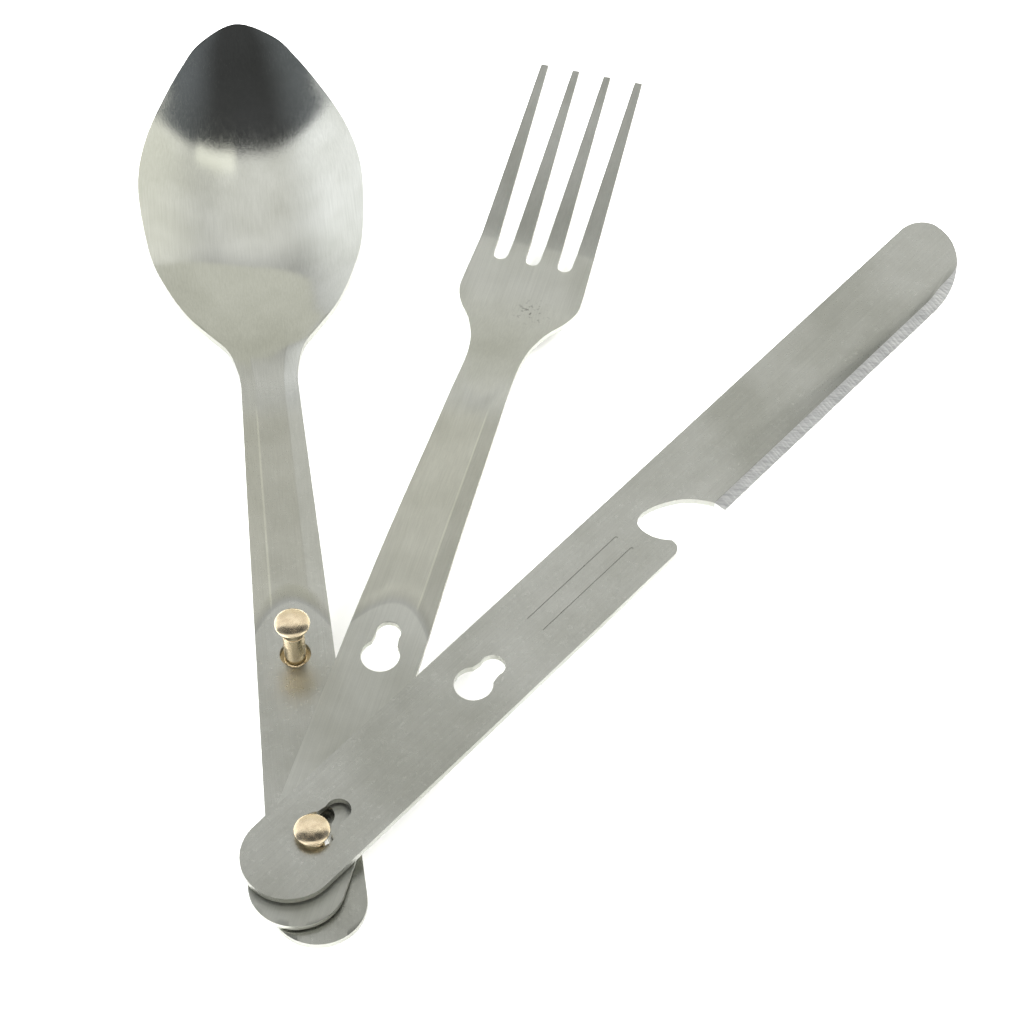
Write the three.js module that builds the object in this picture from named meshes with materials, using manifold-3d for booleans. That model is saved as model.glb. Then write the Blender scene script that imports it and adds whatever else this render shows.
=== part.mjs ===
// Clip-together picnic cutlery: a spoon, a fork and a knife fanned out on a loose brass rivet.
// Millimetres, +Z up. The spoon points along +Y, and the pivot axis is the Z axis.
// The origin is the centre of the flat underside of the pivot rivet, where it stands.
import * as THREE from 'three';
import { mergeVertices } from 'three/addons/utils/BufferGeometryUtils.js';
import Module from 'manifold-3d';

// ---- driving dimensions ----

const RIVET_PITCH = 36.5;          // pivot hole to latch hole, and from keyhole to keyhole

const SHANK_RADIUS = 1.8;
const HEAD_OVERHANG = 1.1;         // how far the rivet heads stand out past the shank
const LOWER_HEAD_THICKNESS = 0.9;
const UPPER_HEAD_RIM = 0.45;       // height of the upright rim of the upper head
const UPPER_HEAD_CROWN = 0.55;     // height of its dome above the rim
const HEAD_CHAMFER = 0.2;
const STEM_RADIUS = 1.0;           // solid stem of the cap inside the tubular post
const STEM_CLEARANCE = 0.15;
const PIVOT_PLAY = 1.0;            // room between the knife and the pivot rivet's upper head
const SLEEVE_GAP = 0.1;            // between the mouth of the post and the shoulder of the cap
const PIVOT_DROP = 4.4;            // how far the pivot rivet has dropped through the spoon

const HOLE_CLEARANCE = 0.8;        // round the shank in the spoon's holes
const SMALL_LOBE_CLEARANCE = 0.28; // round the shank in a keyhole's narrow end
const LARGE_LOBE_CLEARANCE = 0.32; // round the rivet head in a keyhole's wide end
const LOBE_OFFSET_PAST_HEAD = 1.8; // the narrow end's centre, past the edge of a centred head
const THROAT_FLARE = 1.15;         // how much wider its throat is at the wide end
const HEAD_TO_PLATE_GAP = 0.1;

const SPOON_THICKNESS = 1.1;
const FORK_THICKNESS = 1.0;
const KNIFE_THICKNESS = 1.2;
const SPOON_FORK_GAP = 0.45;
const FORK_KNIFE_GAP = 0.55;

const HANDLE_DIP_START = 54;       // where the handles start to bow down towards the working end
const HANDLE_DIP_END = 100;
const HANDLE_DIP = 2.5;
const CHANNEL_PAST_LATCH = 10.5;   // from the latch hole to the arch that starts the channel
const CHANNEL_ARCH = 6;            // how much earlier it starts along the handle's edges
const CHANNEL_FLOOR_SHARE = 0.5;   // share of the width that is channel floor
const CHANNEL_BLEND = 5;

const SPOON_HANDLE_END = 18;       // from the pivot to the rounded end of the handle
const SPOON_END_HALF_WIDTH = 7.6;
const SPOON_NECK_HALF_WIDTH = 5.0;
const SPOON_NECK = 96;
const BOWL_LENGTH = 86;            // from the neck to the tip
const BOWL_HALF_WIDTH = 20.5;
const BOWL_DEPTH = 7.2;
const BOWL_TIP_RISE = 2.8;         // how much the rim climbs from the neck to the tip
const SPOON_CHANNEL_DEPTH = 0.8;
const CHANNEL_FADE = 0.3;          // share of the bowl's length over which the channel dies out
const BOWL_SECTION_POWER = 2.2;    // 2 is a parabola, more is flatter in the middle
const BOWL_END_POWER = 2.3;

// The fork and the knife are measured from the wide end of their first keyhole.
const FORK_HANDLE_END = 15.7;
const FORK_END_HALF_WIDTH = 7.7;
const FORK_PAD_HALF_WIDTH = 6.7;
const FORK_PAD_END = 40;
const FORK_NECK = 100;
const FORK_NECK_HALF_WIDTH = 4.85;
const FORK_SHOULDER_HALF_WIDTH = 11.15;
const FORK_SHOULDER = 123;
const FORK_CREASE = 134.5;         // where the tines bend up
const FORK_TIP = 172.5;
const TINE_COUNT = 4;
const TINE_PITCH = 6.0;
const TINE_ROOT_WIDTH = 3.3;
const TINE_TIP_WIDTH = 1.5;
const SLOT_BOTTOM = 129.5;
const FORK_PALM_DIP = 6.5;         // depth of the palm below the pads
const FORK_TIP_RISE = 0.15;        // height of the tips above the pads
const FORK_CHANNEL_DEPTH = 0.35;
const FORK_CHANNEL_END = 91;
const FORK_CHANNEL_ARCH = 8;
const FORK_PALM_START = 92;        // where the neck starts to sink towards the palm
const FORK_REST_ANGLE = 22.3;      // degrees from the spoon
const FORK_REST_SHIFT = -0.2;      // wide end of the keyhole, measured from the pivot

const KNIFE_HANDLE_END = 14.2;
const KNIFE_HALF_WIDTH = 7.9;
const KNIFE_TIP = 164.7;
const KNIFE_REST_ANGLE = 48.4;
const KNIFE_REST_SHIFT = 1.2;
const TIP_BELLY_LENGTH = 15.9;     // the rounded tip: long and round on the cutting side,
const TIP_SPINE_LENGTH = 5.0;      // short and tight on the spine side
const TIP_SPINE_WIDTH = 4.2;
const NOTCH_HEEL = 91.0;           // heel of the blade, where the opener notch ends
const NOTCH_DEPTH = 9.6;
const HOOK_LENGTH = 2.5;           // rounded length of the opener's hook along the handle's edge
const EDGE_BEVEL_WIDTH = 1.9;
const EDGE_LAND = 0.3;             // thickness left at the cutting edge

const ROUND_SEGMENTS = 32;
const DOME_STEPS = 5;
const SPOON_COLUMNS = 20;
const FORK_COLUMNS = 10;
const SHEET_REACH = 1.25;          // half widths that a sheet reaches to before it is trimmed
const MARGIN = 2;                  // how far cutting bodies reach past what they cut

// ---- levels, worked out from the dimensions ----

const RIVET_HEAD_RADIUS = SHANK_RADIUS + HEAD_OVERHANG;
const HOLE_RADIUS = SHANK_RADIUS + HOLE_CLEARANCE;
const SMALL_LOBE_RADIUS = SHANK_RADIUS + SMALL_LOBE_CLEARANCE;
const LARGE_LOBE_RADIUS = RIVET_HEAD_RADIUS + LARGE_LOBE_CLEARANCE;
const LOBE_OFFSET = RIVET_HEAD_RADIUS + LOBE_OFFSET_PAST_HEAD;

const SPOON_BOTTOM = LOWER_HEAD_THICKNESS + PIVOT_DROP + HEAD_TO_PLATE_GAP;
const SPOON_TOP = SPOON_BOTTOM + SPOON_THICKNESS;
const FORK_TOP = SPOON_TOP + SPOON_FORK_GAP + FORK_THICKNESS;
const KNIFE_BOTTOM = FORK_TOP + FORK_KNIFE_GAP;
const KNIFE_TOP = KNIFE_BOTTOM + KNIFE_THICKNESS;
const POST_TOP = FORK_TOP + (FORK_KNIFE_GAP - SLEEVE_GAP) / 2;
const BOWL_TIP = SPOON_NECK + BOWL_LENGTH;
const CHANNEL_START = RIVET_PITCH + CHANNEL_PAST_LATCH;

// ---- finishes ----

const satinSteel = { color: 0xa8aaa3, roughness: 0.32, metalness: 1 };
const brass = { color: 0xd6bd90, roughness: 0.25, metalness: 1 };

// ---- small tools ----

const wasm = await Module();
wasm.setup();

function smoothStep(value, from, to) {
  return THREE.MathUtils.smoothstep(value, from, to);
}

function toSolid(geometry) {
  const plain = geometry.clone();
  plain.deleteAttribute('normal');
  plain.deleteAttribute('uv');
  const merged = mergeVertices(plain, 1e-5);
  return new wasm.Manifold(new wasm.Mesh({
    numProp: 3,
    vertProperties: new Float32Array(merged.attributes.position.array),
    triVerts: new Uint32Array(merged.index.array),
  }));
}

function toGeometry(solid) {
  const mesh = solid.getMesh();
  const geometry = new THREE.BufferGeometry();
  geometry.setAttribute('position', new THREE.BufferAttribute(mesh.vertProperties, 3));
  geometry.setIndex(new THREE.BufferAttribute(mesh.triVerts, 1));
  geometry.computeVertexNormals();
  return geometry;
}

function prism(shape, bottom, top) {
  const geometry = new THREE.ExtrudeGeometry(shape, {
    depth: top - bottom,
    bevelEnabled: false,
    curveSegments: ROUND_SEGMENTS / 2,
  });
  return toSolid(geometry.translate(0, 0, bottom));
}

function disc(radius, x, y, bottom, top) {
  const geometry = new THREE.CylinderGeometry(radius, radius, top - bottom, ROUND_SEGMENTS);
  geometry.rotateX(Math.PI / 2);
  return toSolid(geometry.translate(x, y, (bottom + top) / 2));
}

// An outline from [y, half width] pairs, mirrored about the Y axis, with a round handle end.
function mirroredShape(halfWidths, endRadius) {
  const right = halfWidths.map(([y, halfWidth]) => new THREE.Vector2(halfWidth, y));
  const left = right.map((point) => new THREE.Vector2(-point.x, point.y)).reverse();
  const shape = new THREE.Shape();
  shape.moveTo(right[0].x, right[0].y);
  right.slice(1).forEach((point) => shape.lineTo(point.x, point.y));
  left.forEach((point) => shape.lineTo(point.x, point.y));
  shape.absarc(0, right[0].y, endRadius, Math.PI, 2 * Math.PI, false);
  return shape;
}

// Rows for a sheet: each band is [from, to, number of steps].
function rowsOf(bands) {
  const rows = [bands[0][0]];
  for (const [from, to, steps] of bands) {
    for (let step = 1; step <= steps; step += 1) {
      rows.push(from + (to - from) * step / steps);
    }
  }
  return rows;
}

// A sheet of even thickness whose upper face follows heightAt(share, y), where share runs
// from -1 to 1 between the outline's edges. It reaches past the outline, which trims it.
function formedSheet(rows, columns, halfWidthAt, heightAt, thickness) {
  const geometry = new THREE.BoxGeometry(
    2 * SHEET_REACH, rows.length - 1, 1, columns, rows.length - 1, 1);
  const points = geometry.attributes.position;
  const step = 1e-3;
  const surface = (x, y) => heightAt(x / halfWidthAt(y), y);
  for (let index = 0; index < points.count; index += 1) {
    const row = Math.round(points.getY(index) + (rows.length - 1) / 2);
    const y = rows[row];
    const x = points.getX(index) * halfWidthAt(y);
    const top = new THREE.Vector3(x, y, surface(x, y));
    if (points.getZ(index) < 0) {
      const normal = new THREE.Vector3(
        surface(x - step, y) - surface(x + step, y),
        surface(x, y - step) - surface(x, y + step),
        2 * step,
      ).normalize();
      top.addScaledVector(normal, -thickness);
    }
    points.setXYZ(index, top.x, top.y, top.z);
  }
  return toSolid(geometry);
}

// How deep the pressed channel is, from 0 on the flat pad to 1 on its floor.
function channelShare(share, y) {
  const start = CHANNEL_START - CHANNEL_ARCH * share * share;
  const across = 1 - THREE.MathUtils.clamp(
    (Math.abs(share) - CHANNEL_FLOOR_SHARE) / (1 - CHANNEL_FLOOR_SHARE), 0, 1);
  return across * smoothStep(y, start, start + CHANNEL_BLEND);
}

function handleDip(y) {
  return HANDLE_DIP * smoothStep(y, HANDLE_DIP_START, HANDLE_DIP_END);
}

// A keyhole whose wide end is at the given place and whose narrow end is nearer the tip.
function keyhole(y, bottom, top) {
  const throat = new THREE.Shape();
  throat.moveTo(-THROAT_FLARE * SMALL_LOBE_RADIUS, y);
  throat.lineTo(THROAT_FLARE * SMALL_LOBE_RADIUS, y);
  throat.lineTo(SMALL_LOBE_RADIUS, y + LOBE_OFFSET);
  throat.lineTo(-SMALL_LOBE_RADIUS, y + LOBE_OFFSET);
  return disc(LARGE_LOBE_RADIUS, 0, y, bottom, top)
    .add(disc(SMALL_LOBE_RADIUS, 0, y + LOBE_OFFSET, bottom, top))
    .add(prism(throat, bottom, top));
}

// ---- spoon ----

// Half of the bowl's outline, as shares of its length and of its half width.
const BOWL_OUTLINE = [
  [0.035, 0.259], [0.093, 0.327], [0.14, 0.478], [0.198, 0.66], [0.279, 0.824],
  [0.367, 0.937], [0.512, 1], [0.605, 0.98], [0.698, 0.883], [0.79, 0.722],
  [0.879, 0.537], [0.951, 0.34],
];
const BOWL_DEEPEST = 0.44;         // place of the deepest point, as a share of the length

const bowlSide = BOWL_OUTLINE.map(([along, across]) => new THREE.Vector2(
  BOWL_HALF_WIDTH * across, SPOON_NECK + BOWL_LENGTH * along));
const bowlCurve = new THREE.SplineCurve([
  new THREE.Vector2(SPOON_NECK_HALF_WIDTH, SPOON_NECK),
  ...bowlSide,
  new THREE.Vector2(0, BOWL_TIP),
  ...bowlSide.map((point) => new THREE.Vector2(-point.x, point.y)).reverse(),
  new THREE.Vector2(-SPOON_NECK_HALF_WIDTH, SPOON_NECK),
]);
const BOWL_STEPS = 72;
const bowlPoints = bowlCurve.getPoints(BOWL_STEPS);

const spoonEndCentre = SPOON_END_HALF_WIDTH - SPOON_HANDLE_END;

function spoonHalfWidth(y) {
  if (y <= SPOON_NECK) {
    const share = THREE.MathUtils.clamp((y - spoonEndCentre) / (SPOON_NECK - spoonEndCentre), 0, 1);
    return THREE.MathUtils.lerp(SPOON_END_HALF_WIDTH, SPOON_NECK_HALF_WIDTH, share);
  }
  const next = bowlPoints.findIndex((point) => point.y > y);
  if (next < 1) {
    return SPOON_NECK_HALF_WIDTH;
  }
  const from = bowlPoints[next - 1];
  const to = bowlPoints[next];
  const halfWidth = THREE.MathUtils.mapLinear(y, from.y, to.y, from.x, to.x);
  return Math.max(halfWidth, SPOON_NECK_HALF_WIDTH);
}

function spoonHeight(share, y) {
  const along = Math.max(0, (y - SPOON_NECK) / BOWL_LENGTH);
  const rim = SPOON_TOP - handleDip(y) + BOWL_TIP_RISE * smoothStep(along, 0, 1);
  const channel = SPOON_CHANNEL_DEPTH * channelShare(share, y);
  if (along === 0) {
    return rim - channel;
  }
  const fall = smoothStep(along, 0, BOWL_DEEPEST);
  const climb = 1 - Math.max(0, (along - BOWL_DEEPEST) / (1 - BOWL_DEEPEST)) ** BOWL_END_POWER;
  const depth = along < BOWL_DEEPEST ? BOWL_DEPTH * fall : BOWL_DEPTH * climb;
  const fade = 1 - smoothStep(along, 0, CHANNEL_FADE);
  return rim - channel * fade - depth * (1 - Math.abs(share) ** BOWL_SECTION_POWER);
}

function makeSpoon() {
  const rows = rowsOf([
    [-SPOON_HANDLE_END - MARGIN, CHANNEL_START - CHANNEL_ARCH, 4],
    [CHANNEL_START - CHANNEL_ARCH, CHANNEL_START + CHANNEL_BLEND, 6],
    [CHANNEL_START + CHANNEL_BLEND, SPOON_NECK, 8],
    [SPOON_NECK, BOWL_TIP, 30],
    [BOWL_TIP, BOWL_TIP + MARGIN, 1],
  ]);
  const sheet = formedSheet(rows, SPOON_COLUMNS, spoonHalfWidth, spoonHeight, SPOON_THICKNESS);
  const outline = new THREE.Shape();
  outline.moveTo(SPOON_END_HALF_WIDTH, spoonEndCentre);
  bowlPoints.forEach((point) => outline.lineTo(point.x, point.y));
  outline.lineTo(-SPOON_END_HALF_WIDTH, spoonEndCentre);
  outline.absarc(0, spoonEndCentre, SPOON_END_HALF_WIDTH, Math.PI, 2 * Math.PI, false);
  const low = SPOON_TOP - HANDLE_DIP - BOWL_DEPTH - MARGIN * 2;
  const high = SPOON_TOP + MARGIN;
  return toGeometry(sheet
    .intersect(prism(outline, low, high))
    .subtract(disc(HOLE_RADIUS, 0, 0, low, high))
    .subtract(disc(HOLE_RADIUS, 0, RIVET_PITCH, low, high)));
}

// ---- fork ----

const forkEndCentre = FORK_END_HALF_WIDTH - FORK_HANDLE_END;
const tineSpan = TINE_PITCH * (TINE_COUNT - 1);
const creaseHalfWidth = (tineSpan + TINE_ROOT_WIDTH) / 2;
const tipHalfWidth = (tineSpan + TINE_TIP_WIDTH) / 2;

// Half of the outline from the neck round the shoulder, as places before the shoulder and
// shares of the way from the neck's half width to the shoulder's.
const FORK_FLARE = [[18, 0.008], [13.5, 0.12], [9, 0.39], [5.6, 0.75], [2.4, 0.97]];

const forkSide = new THREE.SplineCurve([
  new THREE.Vector2(FORK_NECK_HALF_WIDTH, FORK_NECK),
  ...FORK_FLARE.map(([before, share]) => new THREE.Vector2(
    THREE.MathUtils.lerp(FORK_NECK_HALF_WIDTH, FORK_SHOULDER_HALF_WIDTH, share),
    FORK_SHOULDER - before)),
  new THREE.Vector2(FORK_SHOULDER_HALF_WIDTH, FORK_SHOULDER + 0.5),
  new THREE.Vector2(
    (FORK_SHOULDER_HALF_WIDTH + creaseHalfWidth) / 2, (FORK_SHOULDER + FORK_CREASE) / 2 + 0.5),
  new THREE.Vector2(creaseHalfWidth, FORK_CREASE),
]);
const FORK_STEPS = 24;

const forkHalfWidths = [
  [forkEndCentre, FORK_END_HALF_WIDTH],
  [FORK_PAD_END, FORK_PAD_HALF_WIDTH],
  ...forkSide.getPoints(FORK_STEPS).map((point) => [point.y, point.x]),
  [FORK_TIP, tipHalfWidth],
];

function forkHalfWidth(y) {
  const next = forkHalfWidths.findIndex((pair) => pair[0] > y);
  if (next < 1) {
    return next === 0 ? FORK_END_HALF_WIDTH : tipHalfWidth;
  }
  const [fromY, from] = forkHalfWidths[next - 1];
  const [toY, to] = forkHalfWidths[next];
  return THREE.MathUtils.mapLinear(y, fromY, toY, from, to);
}

function forkHeight(share, y) {
  const palm = (FORK_PALM_DIP - HANDLE_DIP) * smoothStep(y, FORK_PALM_START, FORK_SHOULDER);
  const rise = Math.max(0, (y - FORK_CREASE) / (FORK_TIP - FORK_CREASE));
  const end = FORK_CHANNEL_END + FORK_CHANNEL_ARCH * share * share;
  const fade = 1 - smoothStep(y, end, end + CHANNEL_BLEND);
  const channel = FORK_CHANNEL_DEPTH * channelShare(share, y) * fade;
  return FORK_TOP - handleDip(y) - palm - channel + rise * (FORK_PALM_DIP + FORK_TIP_RISE);
}

function slotShape(centre) {
  const rootGap = TINE_PITCH - TINE_ROOT_WIDTH;
  const tipGap = TINE_PITCH - TINE_TIP_WIDTH;
  const grow = (tipGap - rootGap) / (FORK_TIP - FORK_CREASE) / 2;
  const round = rootGap / 2;
  const half = (y) => round + grow * (y - SLOT_BOTTOM - round);
  const top = FORK_TIP + MARGIN;
  const shape = new THREE.Shape();
  shape.moveTo(centre + half(top), top);
  shape.lineTo(centre - half(top), top);
  shape.lineTo(centre - round, SLOT_BOTTOM + round);
  shape.absarc(centre, SLOT_BOTTOM + round, round, Math.PI, 2 * Math.PI, false);
  return shape;
}

function makeFork() {
  const rows = rowsOf([
    [-FORK_HANDLE_END - MARGIN, CHANNEL_START - CHANNEL_ARCH, 4],
    [CHANNEL_START - CHANNEL_ARCH, CHANNEL_START + CHANNEL_BLEND, 6],
    [CHANNEL_START + CHANNEL_BLEND, FORK_CHANNEL_END, 7],
    [FORK_CHANNEL_END, FORK_SHOULDER, 14],
    [FORK_SHOULDER, FORK_CREASE, 1],
    [FORK_CREASE, FORK_TIP, 1],
    [FORK_TIP, FORK_TIP + MARGIN, 1],
  ]);
  const sheet = formedSheet(rows, FORK_COLUMNS, forkHalfWidth, forkHeight, FORK_THICKNESS);
  const low = FORK_TOP - FORK_PALM_DIP - MARGIN * 2;
  const high = FORK_TOP + MARGIN;
  let fork = sheet.intersect(
    prism(mirroredShape(forkHalfWidths, FORK_END_HALF_WIDTH), low, high));
  for (let slot = 0; slot < TINE_COUNT - 1; slot += 1) {
    const centre = (slot - (TINE_COUNT - 2) / 2) * TINE_PITCH;
    fork = fork.subtract(prism(slotShape(centre), low, high));
  }
  return toGeometry(fork
    .subtract(keyhole(0, low, high))
    .subtract(keyhole(RIVET_PITCH, low, high)));
}

// ---- knife ----

// The opener notch from the blade's heel to its hook: places before the heel, and depths as
// shares of the notch's depth.
const NOTCH_OUTLINE = [
  [0, 0], [0.75, 0.26], [2.3, 0.53], [4.2, 0.73], [6.7, 0.89], [9.0, 0.98], [10.9, 1],
  [12.3, 0.93], [12.9, 0.78], [12.8, 0.58], [12.2, 0.4], [11.2, 0.24],
];
const NOTCH_STEPS = 30;

function knifeShape() {
  const edge = KNIFE_HALF_WIDTH;
  const shape = new THREE.Shape();
  const notch = new THREE.SplineCurve(NOTCH_OUTLINE.map(([before, depth]) => new THREE.Vector2(
    edge - NOTCH_DEPTH * depth, NOTCH_HEEL - before)));
  const hook = notch.points[notch.points.length - 1];
  const tipX = TIP_SPINE_WIDTH - edge;
  const bladeEnd = KNIFE_TIP - TIP_BELLY_LENGTH;
  const endCentre = edge - KNIFE_HANDLE_END;
  shape.moveTo(edge, endCentre);
  shape.lineTo(edge, hook.y - HOOK_LENGTH);
  shape.quadraticCurveTo(edge, hook.y, hook.x, hook.y);
  notch.getPoints(NOTCH_STEPS).reverse().forEach((point) => shape.lineTo(point.x, point.y));
  shape.lineTo(edge, bladeEnd);
  shape.absellipse(tipX, bladeEnd, edge - tipX, TIP_BELLY_LENGTH, 0, Math.PI / 2, false, 0);
  shape.absellipse(tipX, KNIFE_TIP - TIP_SPINE_LENGTH, TIP_SPINE_WIDTH, TIP_SPINE_LENGTH,
    Math.PI / 2, Math.PI, false, 0);
  shape.lineTo(-edge, endCentre);
  shape.absarc(0, endCentre, edge, Math.PI, 2 * Math.PI, false);
  return shape;
}

// The wedge that the grinding wheel takes off the top of the cutting edge.
function edgeWedge() {
  const section = new THREE.Shape();
  section.moveTo(KNIFE_HALF_WIDTH - EDGE_BEVEL_WIDTH, KNIFE_TOP);
  section.lineTo(KNIFE_HALF_WIDTH, KNIFE_BOTTOM + EDGE_LAND);
  section.lineTo(KNIFE_HALF_WIDTH + MARGIN, KNIFE_BOTTOM + EDGE_LAND);
  section.lineTo(KNIFE_HALF_WIDTH + MARGIN, KNIFE_TOP + MARGIN);
  section.lineTo(KNIFE_HALF_WIDTH - EDGE_BEVEL_WIDTH, KNIFE_TOP + MARGIN);
  const length = KNIFE_TIP - NOTCH_HEEL + MARGIN;
  const wedge = new THREE.ExtrudeGeometry(section, { depth: length, bevelEnabled: false });
  wedge.rotateX(Math.PI / 2);
  wedge.translate(0, KNIFE_TIP + MARGIN, 0);
  return toSolid(wedge);
}

function makeKnife() {
  const low = KNIFE_BOTTOM - MARGIN;
  const high = KNIFE_TOP + MARGIN;
  return toGeometry(prism(knifeShape(), KNIFE_BOTTOM, KNIFE_TOP)
    .subtract(edgeWedge())
    .subtract(keyhole(0, low, high))
    .subtract(keyhole(RIVET_PITCH, low, high)));
}

// ---- rivets ----

// Turns a closed profile of [radius, height] pairs about the Z axis.
function turned(profile, x, y, lift) {
  const points = profile.map(([radius, height]) => new THREE.Vector2(radius, height + lift));
  const geometry = new THREE.LatheGeometry(points, ROUND_SEGMENTS);
  geometry.rotateX(Math.PI / 2);
  return toGeometry(toSolid(geometry.translate(x, y, 0)));
}

const sleeveTop = POST_TOP;
const shoulder = sleeveTop + SLEEVE_GAP;
const headUnder = KNIFE_TOP + PIVOT_PLAY;
const boreBottom = LOWER_HEAD_THICKNESS + 2 * STEM_CLEARANCE;
const boreRadius = STEM_RADIUS + STEM_CLEARANCE;

const postProfile = [
  [0, 0],
  [RIVET_HEAD_RADIUS - HEAD_CHAMFER, 0],
  [RIVET_HEAD_RADIUS, HEAD_CHAMFER],
  [RIVET_HEAD_RADIUS, LOWER_HEAD_THICKNESS],
  [SHANK_RADIUS, LOWER_HEAD_THICKNESS],
  [SHANK_RADIUS, sleeveTop],
  [boreRadius, sleeveTop],
  [boreRadius, boreBottom],
  [0, boreBottom],
];

const dome = Array.from({ length: DOME_STEPS }, (_, step) => {
  const angle = (step + 1) / DOME_STEPS * Math.PI / 2;
  const radius = step === DOME_STEPS - 1 ? 0 : RIVET_HEAD_RADIUS * Math.cos(angle);
  return [radius, headUnder + UPPER_HEAD_RIM + UPPER_HEAD_CROWN * Math.sin(angle)];
});

const capProfile = [
  [0, boreBottom + 2 * STEM_CLEARANCE],
  [STEM_RADIUS, boreBottom + 2 * STEM_CLEARANCE],
  [STEM_RADIUS, shoulder],
  [SHANK_RADIUS, shoulder],
  [SHANK_RADIUS, headUnder],
  [RIVET_HEAD_RADIUS, headUnder],
  [RIVET_HEAD_RADIUS, headUnder + UPPER_HEAD_RIM],
  ...dome,
];

// ---- assembly ----

const cutlery = new THREE.Group();

function addPart(name, geometry, finish, parent = cutlery) {
  const mesh = new THREE.Mesh(geometry, new THREE.MeshStandardMaterial(finish));
  mesh.name = name;
  parent.add(mesh);
  return mesh;
}

// Turns a piece clockwise from the spoon's direction and shifts it along its own length.
function swing(mesh, degrees, shift) {
  const angle = THREE.MathUtils.degToRad(degrees);
  mesh.rotation.z = -angle;
  mesh.position.set(shift * Math.sin(angle), shift * Math.cos(angle), 0);
}

addPart('spoon', makeSpoon(), satinSteel);
swing(addPart('fork', makeFork(), satinSteel), FORK_REST_ANGLE, FORK_REST_SHIFT);
swing(addPart('knife', makeKnife(), satinSteel), KNIFE_REST_ANGLE, KNIFE_REST_SHIFT);
addPart('pivot_rivet_post', turned(postProfile, 0, 0, 0), brass);
addPart('pivot_rivet_cap', turned(capProfile, 0, 0, 0), brass);
addPart('latch_rivet_post', turned(postProfile, 0, RIVET_PITCH, PIVOT_DROP), brass);
addPart('latch_rivet_cap', turned(capProfile, 0, RIVET_PITCH, PIVOT_DROP), brass);

export default cutlery;
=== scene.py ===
"""Picnic cutlery: a stamped-steel spoon, fork and knife fanned out on loose brass rivets.

Lengths inside the shape functions are millimetres in each piece's own frame, with the piece
pointing along +Y. The finished meshes are turned, shifted and scaled to metres.
"""

import math
import random

import bmesh
import bpy
from bpy.props import FloatProperty, FloatVectorProperty, IntProperty, PointerProperty
from mathutils import Matrix, Vector


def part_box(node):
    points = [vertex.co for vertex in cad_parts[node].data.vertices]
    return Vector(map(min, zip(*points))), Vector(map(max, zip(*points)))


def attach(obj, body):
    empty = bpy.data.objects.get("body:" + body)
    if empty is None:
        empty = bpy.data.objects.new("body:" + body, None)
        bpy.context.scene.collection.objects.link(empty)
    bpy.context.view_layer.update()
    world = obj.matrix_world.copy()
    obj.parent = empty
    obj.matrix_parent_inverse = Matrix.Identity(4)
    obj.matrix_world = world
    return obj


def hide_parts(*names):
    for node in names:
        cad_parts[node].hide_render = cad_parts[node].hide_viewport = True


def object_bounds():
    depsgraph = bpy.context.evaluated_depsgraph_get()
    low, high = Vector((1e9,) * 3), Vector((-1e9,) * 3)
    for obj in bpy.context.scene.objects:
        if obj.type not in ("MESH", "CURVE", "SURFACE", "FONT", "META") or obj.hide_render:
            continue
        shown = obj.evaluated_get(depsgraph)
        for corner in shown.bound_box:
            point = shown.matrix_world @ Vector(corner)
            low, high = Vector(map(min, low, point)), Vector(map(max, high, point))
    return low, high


bl_info = {
    "name": "Picnic Cutlery",
    "version": (1, 0, 0),
    "blender": (4, 5, 0),
    "location": "3D View > Sidebar > Cutlery",
    "description": "Builds a clip-together camping spoon, fork and knife on brass rivets",
    "category": "Add Mesh",
}

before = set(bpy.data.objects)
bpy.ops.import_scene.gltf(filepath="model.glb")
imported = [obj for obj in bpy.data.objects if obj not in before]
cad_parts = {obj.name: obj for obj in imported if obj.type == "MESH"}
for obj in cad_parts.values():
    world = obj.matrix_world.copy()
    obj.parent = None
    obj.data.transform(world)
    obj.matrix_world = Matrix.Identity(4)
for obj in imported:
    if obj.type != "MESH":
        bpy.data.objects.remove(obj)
CAD_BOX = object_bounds()
MM = 0.001


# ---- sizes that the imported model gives, in millimetres ----


def node_box(node):
    """The lowest and highest corners of a solid, in millimetres."""
    low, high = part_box(node)
    return low / MM, high / MM


SPOON_LOW, SPOON_HIGH = node_box("spoon")
KNIFE_LOW, KNIFE_HIGH = node_box("knife")
POST_LOW, POST_HIGH = node_box("pivot_rivet_post")
CAP_LOW, CAP_HIGH = node_box("pivot_rivet_cap")
LATCH_LOW, LATCH_HIGH = node_box("latch_rivet_post")

PIVOT_DROP = LATCH_LOW.z
LOWER_HEAD = 0.9
UPPER_HEAD = 1.0
HEAD_GAP = 0.1
RIVET_PITCH = (LATCH_LOW.y + LATCH_HIGH.y) / 2
HEAD_RADIUS = (POST_HIGH.x - POST_LOW.x) / 2
HEAD_OVERHANG = 1.1
SHANK_RADIUS = HEAD_RADIUS - HEAD_OVERHANG
SLEEVE_TOP = POST_HIGH.z
SLEEVE_GAP = 0.1

SPOON_BOTTOM = PIVOT_DROP + LOWER_HEAD + HEAD_GAP
SPOON_THICKNESS = 1.1
SPOON_TOP = SPOON_BOTTOM + SPOON_THICKNESS
FORK_THICKNESS = 1.0
SPOON_FORK_GAP = 0.45
FORK_TOP = SPOON_TOP + SPOON_FORK_GAP + FORK_THICKNESS
KNIFE_BOTTOM = KNIFE_LOW.z
KNIFE_TOP = KNIFE_HIGH.z

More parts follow.
